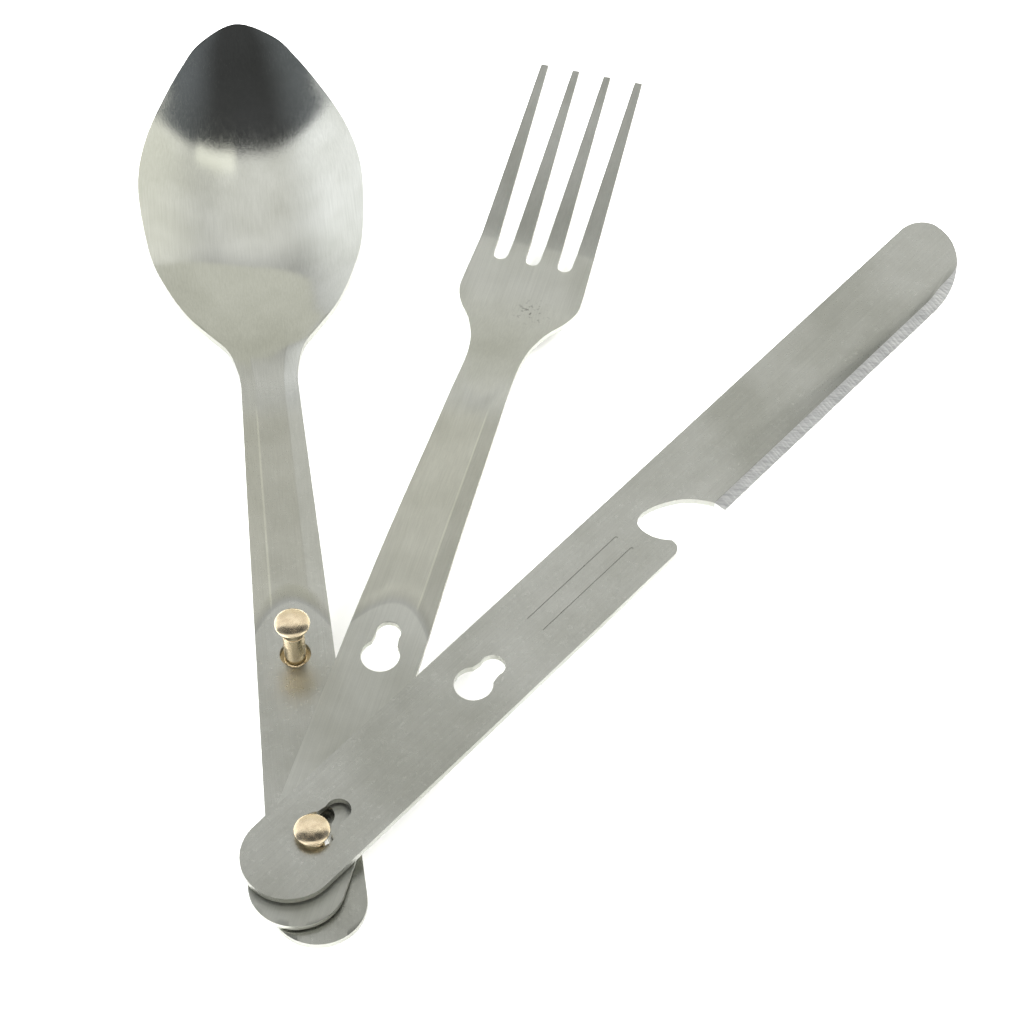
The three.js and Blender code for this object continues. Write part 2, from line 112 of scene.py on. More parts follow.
HOLE_CLEARANCE = 0.8
SMALL_LOBE_CLEARANCE = 0.28
LARGE_LOBE_CLEARANCE = 0.32
LOBE_OFFSET_PAST_HEAD = 1.8
HOLE_RADIUS = SHANK_RADIUS + HOLE_CLEARANCE
SMALL_LOBE = SHANK_RADIUS + SMALL_LOBE_CLEARANCE
LARGE_LOBE = HEAD_RADIUS + LARGE_LOBE_CLEARANCE
LOBE_OFFSET = HEAD_RADIUS + LOBE_OFFSET_PAST_HEAD
THROAT_FLARE = 1.15
THROAT_SHARE = 0.93


# ---- sizes and colours that a user would change ----


def linear(code):
    """An sRGB hex colour as linear red, green and blue."""
    channels = (int(code[place:place + 2], 16) / 255 for place in (1, 3, 5))
    return tuple(c / 12.92 if c <= 0.04045 else ((c + 0.055) / 1.055) ** 2.4 for c in channels)


def length(name, description, millimetres):
    """A length property whose default is given in millimetres."""
    return FloatProperty(
        name=name, description=description, default=millimetres * MM, unit="LENGTH", precision=5)


def tint(name, description, code):
    """A colour property whose default is given as an sRGB hex colour."""
    return FloatVectorProperty(
        name=name, description=description, default=linear(code), subtype="COLOR")


class CutlerySizes(bpy.types.PropertyGroup):
    """Sizes of the three plates."""

    bowl_depth: length("Bowl depth", "Depth of the spoon's bowl below its rim", 7.2)
    channel_depth: length("Channel depth", "Depth of the channel pressed in the spoon", 0.8)
    rim_round: length("Rim rounding", "Rounding of the spoon's tumbled rim", 0.22)
    edge_round: length("Edge rounding", "Rounding of the stamped edges", 0.09)
    grind_width: length("Grind width", "Width of the ground cutting edge", 1.9)
    tooth_pitch: length("Tooth pitch", "Usual spacing of the edge's grinding grooves", 0.8)
    tooth_depth: length("Tooth depth", "Depth of the edge's grinding grooves", 0.06)
    mark_depth: length("Mark depth", "Depth of the two ruled marks on the knife", 0.12)


class CutleryRivetSizes(bpy.types.PropertyGroup):
    """Sizes of the rivets' details."""

    head_round: length("Head rounding", "Rounding of a head's rim", 0.14)
    turns: IntProperty(name="Sides", description="Sides of each rivet", default=72, min=12)


class CutleryFinishes(bpy.types.PropertyGroup):
    """Colours of the finishes."""

    steel: tint("Steel", "Satin stainless steel", "#cdcec6")
    steel_dull: tint("Dull steel", "Where the steel is handled and dull", "#b9bab0")
    stain: tint("Stain", "Water and heat stains", "#5d5c57")
    ground: tint("Ground edge", "Freshly ground steel", "#f7f7f4")
    brass: tint("Brass", "Turned pale brass", "#f5e4c2")
    brass_dark: tint("Brass patina", "Patches where the brass has darkened", "#b98a55")
    floor: tint("Floor", "Pale floor", "#f7f7f6")


# ---- curves ----


def clamp(value, low=0.0, high=1.0):
    return max(low, min(high, value))


def blend(start, end, share):
    return start + (end - start) * share


def smooth(value, start, end):
    """0 before start, 1 after end, and an even ease between them."""
    share = clamp((value - start) / (end - start))
    return share * share * (3 - 2 * share)


def spline(points, steps):
    """A smooth curve through the points, as evenly many steps on each span."""
    count = len(points) - 1
    curve = []
    for step in range(steps + 1):
        place = count * step / steps
        span = min(int(place), count - 1)
        share = place - span
        before = points[max(span - 1, 0)]
        start, end = points[span], points[span + 1]
        after = points[min(span + 2, count)]
        leave, arrive = (end - before) / 2, (after - start) / 2
        curve.append(
            (2 * start - 2 * end + leave + arrive) * share ** 3
            + (3 * end - 3 * start - 2 * leave - arrive) * share ** 2
            + leave * share + start)
    return curve


def width_reader(pairs):
    """Reads half widths from (y, half width) pairs, straight between them."""

    def half_width(y):
        if y <= pairs[0][0]:
            return pairs[0][1]
        for (from_y, start), (to_y, end) in zip(pairs, pairs[1:]):
            if y <= to_y:
                return blend(start, end, (y - from_y) / max(to_y - from_y, 1e-9))
        return pairs[-1][1]

    return half_width


# ---- meshes ----


def new_object(name, bm):
    """An object in the scene with a finished mesh."""
    mesh = bpy.data.meshes.new(name)
    bm.to_mesh(mesh)
    bm.free()
    thing = bpy.data.objects.new(name, mesh)
    bpy.context.scene.collection.objects.link(thing)
    return thing


def make_piece(name, bm, body, node, materials, angle=0.0, shift=0.0):
    """Turns a finished mesh into a piece that rides on a body and stands for its solid."""
    turn = Matrix.Rotation(-math.radians(angle), 4, "Z")
    bmesh.ops.transform(
        bm, verts=bm.verts,
        matrix=Matrix.Scale(MM, 4) @ turn @ Matrix.Translation((0, shift, 0)))
    piece = new_object(name, bm)
    for material in materials:
        piece.data.materials.append(material)
    for polygon in piece.data.polygons:
        polygon.use_smooth = True
    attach(piece, body)
    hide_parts(node)
    return piece


def soften_edges(piece, width, segments, angle):
    """Rounds a piece's sharp edges and keeps its flat faces looking flat."""
    bevel = piece.modifiers.new("Rounded edges", "BEVEL")
    bevel.width = width
    bevel.segments = segments
    bevel.limit_method = "ANGLE"
    bevel.angle_limit = math.radians(angle)
    bevel.miter_outer = "MITER_ARC"
    normals = piece.modifiers.new("Flat faces", "WEIGHTED_NORMAL")
    normals.mode = "FACE_AREA_WITH_ANGLE"
    normals.keep_sharp = True


def cut(bm, cutters):
    """Cuts closed bodies out of a closed mesh."""
    work = new_object("work", bm)
    tools = []
    for cutter in cutters:
        tool = new_object("cutter", cutter)
        tools.append(tool)
        modifier = work.modifiers.new("cut", "BOOLEAN")
        modifier.operation = "DIFFERENCE"
        modifier.solver = "EXACT"
        modifier.object = tool
    bpy.context.view_layer.update()
    evaluated = work.evaluated_get(bpy.context.evaluated_depsgraph_get())
    result = bmesh.new()
    result.from_mesh(evaluated.to_mesh())
    evaluated.to_mesh_clear()
    for thing in [work] + tools:
        data = thing.data
        bpy.data.objects.remove(thing)
        bpy.data.meshes.remove(data)
    bmesh.ops.remove_doubles(result, verts=result.verts, dist=1e-4)
    return result


def outline_body(points, bottom, top):
    """A closed body between two heights, from an outline that turns left."""
    bm = bmesh.new()
    corners = [bm.verts.new((point.x, point.y, bottom)) for point in points]
    face = bm.faces.new(corners)
    face.normal_update()
    if face.normal.z > 0:
        face.normal_flip()
    raised = bmesh.ops.extrude_face_region(bm, geom=[face])["geom"]
    raised_corners = [item for item in raised if isinstance(item, bmesh.types.BMVert)]
    bmesh.ops.translate(bm, verts=raised_corners, vec=(0, 0, top - bottom))
    bmesh.ops.recalc_face_normals(bm, faces=bm.faces)
    return bm


def round_hole(radius, x, y, bottom, top):
    """A round cutting body."""
    bm = bmesh.new()
    bmesh.ops.create_cone(
        bm, cap_ends=True, segments=64, radius1=radius, radius2=radius, depth=top - bottom,
        matrix=Matrix.Translation((x, y, (top + bottom) / 2)))
    return bm


def arc(centre, radius, start, end, steps):
    """Points on an arc, with angles in degrees."""
    angles = [math.radians(blend(start, end, step / steps)) for step in range(steps + 1)]
    return [centre + Vector((math.cos(a), math.sin(a))) * radius for a in angles]


def keyhole(y, bottom, top):
    """A keyhole cutting body, whose narrow end is nearer the tip."""
    wide, narrow = Vector((0, y)), Vector((0, y + LOBE_OFFSET))
    half = THROAT_FLARE * SMALL_LOBE * THROAT_SHARE
    opening = math.degrees(math.asin(half / LARGE_LOBE))
    points = arc(wide, LARGE_LOBE, 90 + opening, 450 - opening, 56)
    points += arc(narrow, SMALL_LOBE, -20, 200, 36)
    return outline_body(points, bottom, top)


def sheet_grid(columns, rows, place):
    """A sheet's upper face: place(column, row) gives each corner's point."""
    bm = bmesh.new()
    bmesh.ops.create_grid(bm, x_segments=columns, y_segments=rows, size=0.5)
    for corner in bm.verts:
        column = round((corner.co.x + 0.5) * columns)
        row = round((corner.co.y + 0.5) * rows)
        corner.co = place(column, row)
    return bm


STEEPEST_SHEET = 0.6


def thicken(bm, thickness):
    """Gives a sheet its thickness, straight down from its upper face, with upright edges.

    Where the sheet slopes, the way down is longer, up to a normal whose rise is
    STEEPEST_SHEET.
    """
    bm.normal_update()
    upper, faces = bm.verts[:], bm.faces[:]
    rim = [(loop.vert, loop.link_loop_next.vert)
           for face in faces for loop in face.loops if loop.edge.is_boundary]
    lower = {
        corner: bm.verts.new(
            corner.co - Vector((0, 0, thickness / max(corner.normal.z, STEEPEST_SHEET))))
        for corner in upper}
    for face in faces:
        bm.faces.new([lower[corner] for corner in reversed(face.verts)]).smooth = True
    for start, end in rim:
        bm.faces.new([end, start, lower[start], lower[end]])
    bmesh.ops.recalc_face_normals(bm, faces=bm.faces)
    return bm


def round_end_row(across, along, radius, centre_y, straight_y, straight_half):
    """A point of the rounded handle end, from the end's arc (0) to a straight row (1)."""
    spread = math.radians(62)
    corner_x, corner_y = radius * math.sin(spread), centre_y - radius * math.cos(spread)
    side_y = blend(corner_y, straight_y, along)
    if side_y < centre_y:
        side_half = math.sqrt(radius ** 2 - (side_y - centre_y) ** 2)
    else:
        side_half = blend(radius, straight_half, (side_y - centre_y) / (straight_y - centre_y))
    arc_x = radius * math.sin(across * spread)
    arc_y = centre_y - radius * math.cos(across * spread)
    x = blend(arc_x, across * straight_half, along)
    x += across * (side_half - blend(corner_x, straight_half, along))
    return x, blend(arc_y, straight_y, along)


# ---- pressed channel and bow that the spoon and the fork share ----

CHANNEL_PAST_LATCH = 10.5
CHANNEL_START = RIVET_PITCH + CHANNEL_PAST_LATCH
CHANNEL_ARCH = 6.0
CHANNEL_BLEND = 5.0
CHANNEL_FLOOR = 0.5
HANDLE_DIP = 2.5
HANDLE_DIP_START = 54
HANDLE_DIP_END = 100


def channel_share(share, y):
    """How deep the pressed channel is, from 0 on the flat pad to 1 on its floor."""
    start = CHANNEL_START - CHANNEL_ARCH * share * share
    across = 1 - clamp((abs(share) - CHANNEL_FLOOR) / (1 - CHANNEL_FLOOR))
    return across * smooth(y, start, start + CHANNEL_BLEND)


def handle_dip(y):
    """How far a handle has bowed down towards its working end."""
    return HANDLE_DIP * smooth(y, HANDLE_DIP_START, HANDLE_DIP_END)


# ---- spoon ----

SPOON_END = -SPOON_LOW.y
SPOON_END_HALF = 7.6
SPOON_NECK = 96.0
SPOON_NECK_HALF = 5.0
BOWL_LENGTH = SPOON_HIGH.y - SPOON_NECK
BOWL_HALF = 20.5
BOWL_RISE = 2.8
BOWL_DEEPEST = 0.44
BOWL_OUTLINE = (
    (0.035, 0.259), (0.093, 0.327), (0.14, 0.478), (0.198, 0.66), (0.279, 0.824),
    (0.367, 0.937), (0.512, 1.0), (0.605, 0.98), (0.698, 0.883), (0.79, 0.722),
    (0.879, 0.537), (0.951, 0.34))
BOWL_CORNER = 0.9
BOWL_SECTION_POWER = 2.2
BOWL_END_POWER = 2.3
CHANNEL_FADE = 0.3

bowl_side = [Vector((BOWL_HALF * across, SPOON_NECK + BOWL_LENGTH * along))
             for along, across in BOWL_OUTLINE]
bowl_curve = spline(
    [Vector((SPOON_NECK_HALF, SPOON_NECK))] + bowl_side + [Vector((0, SPOON_NECK + BOWL_LENGTH))]
    + [Vector((-p.x, p.y)) for p in reversed(bowl_side)]
    + [Vector((-SPOON_NECK_HALF, SPOON_NECK))], 720)
bowl_half_width = width_reader([(p.y, max(p.x, 0.0)) for p in bowl_curve[:361]])


def spoon_half_width(y):
    if y > SPOON_NECK:
        return bowl_half_width(y)
    centre = SPOON_END_HALF - SPOON_END
    return blend(SPOON_END_HALF, SPOON_NECK_HALF, clamp((y - centre) / (SPOON_NECK - centre)))


def spoon_height(x, y, bowl_depth, channel_depth):
    half = spoon_half_width(y)
    share = clamp(x / half, -1, 1) if half > 1e-6 else 0.0
    along = max(0.0, (y - SPOON_NECK) / BOWL_LENGTH)
    rim = SPOON_TOP - handle_dip(y) + BOWL_RISE * smooth(along, 0, 1)
    channel = channel_depth * channel_share(share, y) * (1 - smooth(along, 0, CHANNEL_FADE))
    if along < BOWL_DEEPEST:
        depth = bowl_depth * smooth(along, 0, BOWL_DEEPEST)
    else:
        past = clamp((along - BOWL_DEEPEST) / (1 - BOWL_DEEPEST))
        depth = bowl_depth * (1 - past ** BOWL_END_POWER)
    return rim - channel - depth * (1 - abs(share) ** BOWL_SECTION_POWER)


def make_spoon(sizes):
    """The spoon's sheet, with its two holes."""
    columns = 60
    stations = [("end", step / 8) for step in range(8)]
    stations += [("row", y) for y in (-6, 0, 10, 20, 30, 38)]
    stations += [("row", 40 + 0.5 * step) for step in range(26)]
    stations += [("row", 53 + 2.15 * step) for step in range(20)]
    stations += [("bowl", step / 96) for step in range(97)]
    centre_y = SPOON_END_HALF - SPOON_END
    depth, channel = sizes.bowl_depth / MM, sizes.channel_depth / MM
    corner = min(range(361), key=lambda index: abs(
        bowl_curve[index].y - SPOON_NECK - BOWL_CORNER * BOWL_LENGTH))
    corner_point = bowl_curve[corner]

    def place(column, row):
        across = 2 * column / columns - 1
        kind, value = stations[row]
        if kind == "end":
            x, y = round_end_row(
                across, value, SPOON_END_HALF, centre_y, -6, spoon_half_width(-6))
        elif kind == "row":
            x, y = across * spoon_half_width(value), value
        else:
            index = 360 - across * (360 - corner)
            low = min(int(index), 719)
            cap = bowl_curve[low].lerp(bowl_curve[low + 1], index - low)
            side_y = blend(SPOON_NECK, corner_point.y, value)
            x = blend(across * SPOON_NECK_HALF, cap.x, value)
            x += across * (
                bowl_half_width(side_y) - blend(SPOON_NECK_HALF, corner_point.x, value))
            y = blend(SPOON_NECK, cap.y, value)
        return x, y, spoon_height(x, y, depth, channel)

    sheet = thicken(sheet_grid(columns, len(stations) - 1, place), SPOON_THICKNESS)
    low, high = SPOON_BOTTOM - 2, SPOON_TOP + 2
    return cut(sheet, [
        round_hole(HOLE_RADIUS, 0, 0, low, high),
        round_hole(HOLE_RADIUS, 0, RIVET_PITCH, low, high)])


# ---- fork ----

FORK_ANGLE = 22.3
FORK_SHIFT = -0.2
FORK_END = 15.7
FORK_END_HALF = 7.7
FORK_PAD_END = 40.0
FORK_PAD_HALF = 6.7
FORK_NECK = 100.0
FORK_NECK_HALF = 4.85
FORK_SHOULDER = 123.0
FORK_SHOULDER_HALF = 11.15
FORK_CREASE = 134.5
FORK_TIP = 172.5
FORK_PALM_DIP = 6.5
FORK_TIP_RISE = 0.15
FORK_CHANNEL = 0.35
FORK_CHANNEL_END = 91.0
FORK_CHANNEL_ARCH = 8
FORK_PALM_START = 92
FORK_FLARE = ((18, 0.008), (13.5, 0.12), (9, 0.39), (5.6, 0.75), (2.4, 0.97))
TINES = 4
TINE_PITCH = 6.0
TINE_ROOT = 3.3
TINE_TIP = 1.5
SLOT_BOTTOM = 129.5
SLOT_ROUND = (TINE_PITCH - TINE_ROOT) / 2
SLOT_GROWTH = (TINE_ROOT - TINE_TIP) / (FORK_TIP - FORK_CREASE) / 2

crease_half = (TINE_PITCH * (TINES - 1) + TINE_ROOT) / 2
fork_side = spline(
    [Vector((FORK_NECK_HALF, FORK_NECK))]
    + [Vector((blend(FORK_NECK_HALF, FORK_SHOULDER_HALF, share), FORK_SHOULDER - before))
       for before, share in FORK_FLARE]
    + [Vector((FORK_SHOULDER_HALF, FORK_SHOULDER + 0.5)),
       Vector(((FORK_SHOULDER_HALF + crease_half) / 2, (FORK_SHOULDER + FORK_CREASE) / 2 + 0.5)),
       Vector((crease_half, FORK_CREASE))], 96)
fork_half_width = width_reader(
    [(FORK_END_HALF - FORK_END, FORK_END_HALF), (FORK_PAD_END, FORK_PAD_HALF)]
    + [(p.y, p.x) for p in fork_side]
    + [(FORK_TIP, (TINE_PITCH * (TINES - 1) + TINE_TIP) / 2)])


def fork_height(x, y):
    share = clamp(x / fork_half_width(y), -1, 1)
    palm = (FORK_PALM_DIP - HANDLE_DIP) * smooth(y, FORK_PALM_START, FORK_SHOULDER)
    rise = max(0.0, (y - FORK_CREASE) / (FORK_TIP - FORK_CREASE))
    end = FORK_CHANNEL_END + FORK_CHANNEL_ARCH * share * share
    channel = FORK_CHANNEL * channel_share(share, y) * (1 - smooth(y, end, end + CHANNEL_BLEND))
    return FORK_TOP - handle_dip(y) - palm - channel + rise * (FORK_PALM_DIP + FORK_TIP_RISE)


def fork_columns():
    """Columns of the head: (gap or tine, its number, place across it from -1 to 1)."""
    columns = []
    for tine in range(TINES):
        columns += [("tine", tine, step / 3 - 1) for step in range(6)]
        if tine < TINES - 1:
            columns += [("gap", tine, step / 5 - 1) for step in range(10)]
    return columns + [("tine", TINES - 1, 1.0)]


def fork_column_x(column, y):
    """Where a head column runs at a place along the tines."""
    kind, number, place = column
    gap_half = SLOT_ROUND + SLOT_GROWTH * max(0.0, y - SLOT_BOTTOM - SLOT_ROUND)
    if kind == "gap":
        return (number - (TINES - 2) / 2) * TINE_PITCH + place * gap_half
    left = (number - TINES / 2) * TINE_PITCH + gap_half
    right = (number - (TINES - 2) / 2) * TINE_PITCH - gap_half
    if number == 0:
        left = -fork_half_width(y)
    if number == TINES - 1:
        right = fork_half_width(y)
    return blend(left, right, (place + 1) / 2)


def make_fork():
    """The fork's sheet, with its slots and keyholes."""
    columns = fork_columns()
    root_y = SLOT_BOTTOM + SLOT_ROUND
    root_half = fork_half_width(root_y)
    shares = [fork_column_x(column, root_y) / root_half for column in columns]
    sags = [SLOT_ROUND * (1 - math.sqrt(1 - column[2] ** 2)) - SLOT_ROUND
            if column[0] == "gap" else 0.0 for column in columns]
    stations = [("end", step / 8) for step in range(8)]
    stations += [("row", y) for y in (-6, 2, 12, 22, 30, 38)]
    stations += [("row", 40 + 0.5 * step) for step in range(26)]
    stations += [("row", 53 + 2 * step) for step in range(17)]
    stations += [("row", 87 + 0.6 * step) for step in range(32)]
    stations += [("row", 106.2 + 0.98 * step) for step in range(18)]
    stations += [("row", blend(123.2, root_y, step / 10)) for step in range(11)]
    stations += [("tine", blend(root_y, FORK_CREASE, step / 4)) for step in range(1, 5)]
    stations += [("tine", blend(FORK_CREASE, FORK_TIP, step / 16)) for step in range(1, 17)]
    centre_y = FORK_END_HALF - FORK_END

    def place(column, row):
        kind, y = stations[row]
        if kind == "end":
            x, y = round_end_row(
                shares[column], y, FORK_END_HALF, centre_y, -6, fork_half_width(-6))
        elif kind == "row":
            x = shares[column] * fork_half_width(y)
            y += sags[column] * smooth(y, 118, root_y)
        else:
            x = fork_column_x(columns[column], y)
        return x, y, fork_height(x, y)

    sheet = sheet_grid(len(columns) - 1, len(stations) - 1, place)
    slots = []
    for face in sheet.faces:
        middle = face.calc_center_median()
        if middle.y < SLOT_BOTTOM:
            continue
        for gap in range(TINES - 1):
            centre = (gap - (TINES - 2) / 2) * TINE_PITCH
            half = SLOT_ROUND + SLOT_GROWTH * max(0.0, middle.y - root_y)
            lowest = min(corner.co.y for corner in face.verts)
            edge = root_y - math.sqrt(max(0.0, SLOT_ROUND ** 2 - (middle.x - centre) ** 2))
            if abs(middle.x - centre) < half and lowest > edge - 0.25:
                slots.append(face)
    bmesh.ops.delete(sheet, geom=slots, context="FACES")
    low, high = FORK_TOP - FORK_THICKNESS - 2, FORK_TOP + 2
    return cut(thicken(sheet, FORK_THICKNESS), [
        keyhole(0, low, high), keyhole(RIVET_PITCH, low, high)])


# ---- knife ----

KNIFE_ANGLE = 48.4
KNIFE_SHIFT = 1.2
KNIFE_END = 14.2
KNIFE_HALF = 7.9
KNIFE_TIP = 164.7
BELLY_LENGTH = 15.9
SPINE_LENGTH = 5.0
SPINE_WIDTH = 4.2
NOTCH_HEEL = 91.0
NOTCH_DEPTH = 9.6
HOOK_LENGTH = 2.5
NOTCH_OUTLINE = (
    (0, 0), (0.75, 0.26), (2.3, 0.53), (4.2, 0.73), (6.7, 0.89), (9.0, 0.98), (10.9, 1.0),
    (12.3, 0.93), (12.9, 0.78), (12.8, 0.58), (12.2, 0.4), (11.2, 0.24))
EDGE_LAND = 0.3


def ellipse(centre, across, along, start, end, steps):
    angles = [math.radians(blend(start, end, step / steps)) for step in range(steps + 1)]
    return [centre + Vector((across * math.cos(a), along * math.sin(a))) for a in angles]


def make_knife(sizes):
    """The knife's plate with its ground edge, notch, keyholes and two ruled marks."""
    grind = sizes.grind_width / MM
    spacing = 0.1
    blade_end = KNIFE_TIP - BELLY_LENGTH
    belly_centre = Vector((SPINE_WIDTH - KNIFE_HALF, blade_end))
    belly_width = KNIFE_HALF - belly_centre.x
    straight_steps = round((blade_end - NOTCH_HEEL) / spacing)
    edge = [Vector((KNIFE_HALF, blend(NOTCH_HEEL, blade_end, step / straight_steps)))
            for step in range(straight_steps)]
    edge += ellipse(belly_centre, belly_width, BELLY_LENGTH, 0, 48, 124)
    fades = [1.0] * straight_steps
    fades += [1 - smooth(step / 124, 0.3, 1.0) for step in range(125)]
    outward = []
    for index, point in enumerate(edge):
        ahead = edge[min(index + 1, len(edge) - 1)] - edge[max(index - 1, 0)]
        outward.append(Vector((ahead.y, -ahead.x)).normalized())
    inner = [point - normal * grind * fade
             for point, normal, fade in zip(edge, outward, fades)]
    notch = spline([Vector((KNIFE_HALF - NOTCH_DEPTH * depth, NOTCH_HEEL - before))
                    for before, depth in NOTCH_OUTLINE], 132)
    crossing = next(i for i, p in enumerate(notch) if p.x < inner[0].x)
    first, second = notch[crossing - 1], notch[crossing]
    inner[0] = first.lerp(second, (first.x - inner[0].x) / (first.x - second.x))
    hook = notch[-1]
    hook_turn = [
        Vector((KNIFE_HALF, hook.y - HOOK_LENGTH)) * (1 - t) ** 2
        + Vector((KNIFE_HALF, hook.y)) * 2 * t * (1 - t) + hook * t * t
        for t in (step / 10 for step in range(10))]
    end_centre = Vector((0, KNIFE_HALF - KNIFE_END))
    tip = ellipse(belly_centre, belly_width, BELLY_LENGTH, 48, 90, 40)[1:]
    tip += ellipse(Vector((belly_centre.x, KNIFE_TIP - SPINE_LENGTH)), SPINE_WIDTH,
                   SPINE_LENGTH, 90, 180, 30)[1:]
    outline = hook_turn + list(reversed(notch[crossing:])) + inner + tip
    outline += arc(end_centre, KNIFE_HALF, 180, 360, 60)
    low, high = KNIFE_BOTTOM - 2, KNIFE_TOP + 2
    mark = sizes.mark_depth / MM
    marks = []
    for x in (-1.7, 1.7):
        rounded = arc(Vector((x, 74)), 0.28, 0, 180, 8) + arc(Vector((x, 52)), 0.28, 180, 360, 8)
        marks.append(outline_body(rounded, KNIFE_TOP - mark, high))
    plate = cut(outline_body(outline, KNIFE_BOTTOM, KNIFE_TOP), [
        keyhole(0, low, high), keyhole(RIVET_PITCH, low, high)] + marks)

    ground_points = {(round(p.x, 2), round(p.y, 2)) for p in inner}

    def on_ground_line(corner):
        return (round(corner.co.x, 2), round(corner.co.y, 2)) in ground_points

    rims = [item for item in plate.edges
            if not all(on_ground_line(corner) for corner in item.verts)
            and abs(item.verts[0].co.z - item.verts[1].co.z) < 1e-3
            and item.calc_face_angle(0) > math.radians(60)
            and not KNIFE_TOP - 0.5 < item.verts[0].co.z < KNIFE_TOP - 0.01]
    walls = [face for face in plate.faces if abs(face.normal.z) < 0.5 and all(
        on_ground_line(corner) for corner in face.verts)]
    bmesh.ops.delete(plate, geom=walls, context="FACES_ONLY")
    rims = [item for item in rims if item.is_valid and not item.is_boundary]
    bmesh.ops.bevel(
        plate, geom=rims, offset=sizes.edge_round / MM, offset_type="OFFSET", segments=2,
        profile=0.5, affect="EDGES", material=-1, clamp_overlap=True)

    chance = random.Random(11)
    pitch = sizes.tooth_pitch / MM
    teeth, place = [], 0.3
    while place < 90:
        teeth.append((place, chance.uniform(0.5, 1.0), chance.uniform(0.16, 0.34)))
        place += pitch * chance.uniform(0.6, 1.45)
    tooth_depth = sizes.tooth_depth / MM
    grooves, nearest, travelled = [], 0, 0.0
    for index, point in enumerate(edge):
        if index:
            travelled += (point - edge[index - 1]).length
        while nearest + 1 < len(teeth) and (
                abs(teeth[nearest + 1][0] - travelled) < abs(teeth[nearest][0] - travelled)):
            nearest += 1
        centre, strength, width = teeth[nearest]
        away = clamp(1 - abs(travelled - centre) / width)
        grooves.append(tooth_depth * strength * away * fades[index])

    across_steps = 5

    def place_ground(column, row):
        start, end, fade, groove = inner[column], edge[column], fades[column], grooves[column]
        land = blend(KNIFE_TOP, KNIFE_BOTTOM + EDGE_LAND, fade)
        if column == 0:
            groove = 0.0
        bitten = end - outward[column] * groove
        if row <= across_steps:
            share = row / across_steps
            point = start.lerp(bitten, share)
            height = blend(KNIFE_TOP, land, share) - groove * math.sin(math.pi * share * 0.8)
            return point.x, point.y, max(height, KNIFE_BOTTOM + 0.05)
        point = bitten if row == across_steps + 1 else start
        return point.x, point.y, KNIFE_BOTTOM

    ground = sheet_grid(len(edge) - 1, across_steps + 2, place_ground)
    for face in ground.faces:
        face.material_index = 1
    ground_mesh = bpy.data.meshes.new("ground")
    ground.to_mesh(ground_mesh)
    ground.free()
    plate.from_mesh(ground_mesh)
    bpy.data.meshes.remove(ground_mesh)
    bmesh.ops.remove_doubles(plate, verts=plate.verts, dist=2e-3)
    bmesh.ops.dissolve_degenerate(plate, edges=plate.edges, dist=1e-4)
    open_edges = [item for item in plate.edges if item.is_boundary]
    bmesh.ops.holes_fill(plate, edges=open_edges, sides=0)
    bmesh.ops.recalc_face_normals(plate, faces=plate.faces)
    return plate


# ---- rivets ----


def turned(profile, y, lift, turns):
    """Spins a closed profile of (radius, height) pairs about an upright axis."""
    bm = bmesh.new()
    corners = [bm.verts.new((radius, 0, height)) for radius, height in profile]
    lines = [bm.edges.new(pair) for pair in zip(corners, corners[1:])]
    bmesh.ops.spin(
        bm, geom=corners + lines, cent=(0, 0, 0), axis=(0, 0, 1), angle=math.tau,
        steps=turns, use_merge=True)
    bmesh.ops.remove_doubles(bm, verts=bm.verts, dist=1e-5)
    bmesh.ops.recalc_face_normals(bm, faces=bm.faces)
    bmesh.ops.translate(bm, verts=bm.verts, vec=(0, y, lift))
    return bm


def rounded_corner(radius, height, size, start, end):
    """Profile points round a corner whose centre is at the given radius and height."""
    return [(p.x, p.y) for p in arc(Vector((radius, height)), size, start, end, 4)]


BORE_WALL = 0.65
STEM_INSET = 0.8
FILLET = 0.1
LIP_ROUND = 0.08
DOME = ((0.93, 0.56), (0.84, 0.69), (0.72, 0.8), (0.6, 0.88), (0.45, 0.945), (0.3, 0.98),
        (0.15, 0.996))


def post_profile(sizes):
    """Lower head and tubular shank."""
    size = sizes.head_round / MM
    bore = SHANK_RADIUS - BORE_WALL
    bore_bottom = LOWER_HEAD + 0.3
    profile = [(0, 0)]
    profile += rounded_corner(HEAD_RADIUS - size, size, size, -90, 0)
    profile += rounded_corner(HEAD_RADIUS - size, LOWER_HEAD - size, size, 0, 90)
    profile += [(SHANK_RADIUS + FILLET, LOWER_HEAD), (SHANK_RADIUS, LOWER_HEAD + FILLET)]
    profile += rounded_corner(
        SHANK_RADIUS - LIP_ROUND, SLEEVE_TOP - LIP_ROUND, LIP_ROUND, 0, 90)
    profile += [(bore, SLEEVE_TOP), (bore, bore_bottom), (0, bore_bottom)]
    return profile


def cap_profile(sizes):
    """Stem, neck and domed upper head."""
    size = sizes.head_round / MM
    under = CAP_HIGH.z - UPPER_HEAD
    stem = SHANK_RADIUS - STEM_INSET
    shoulder = SLEEVE_TOP + SLEEVE_GAP
    profile = [(0, CAP_LOW.z), (stem, CAP_LOW.z), (stem, shoulder)]
    profile += rounded_corner(
        SHANK_RADIUS - LIP_ROUND, shoulder + LIP_ROUND, LIP_ROUND, -90, 0)
    profile += [(SHANK_RADIUS, under - FILLET), (SHANK_RADIUS + FILLET, under)]
    profile += rounded_corner(HEAD_RADIUS - size, under + size, size, -90, 0)
    profile += [(HEAD_RADIUS, under + 0.34), (HEAD_RADIUS - 0.05, under + 0.44)]
    profile += [(HEAD_RADIUS * across, under + rise) for across, rise in DOME]
    profile.append((0, under + UPPER_HEAD))
    return profile


# ---- finishes ----

EASE = {"interpolation_type": "SMOOTHSTEP"}
COLOURS = {"data_type": "RGBA"}
MULTIPLY = {"data_type": "RGBA", "blend_type": "MULTIPLY"}


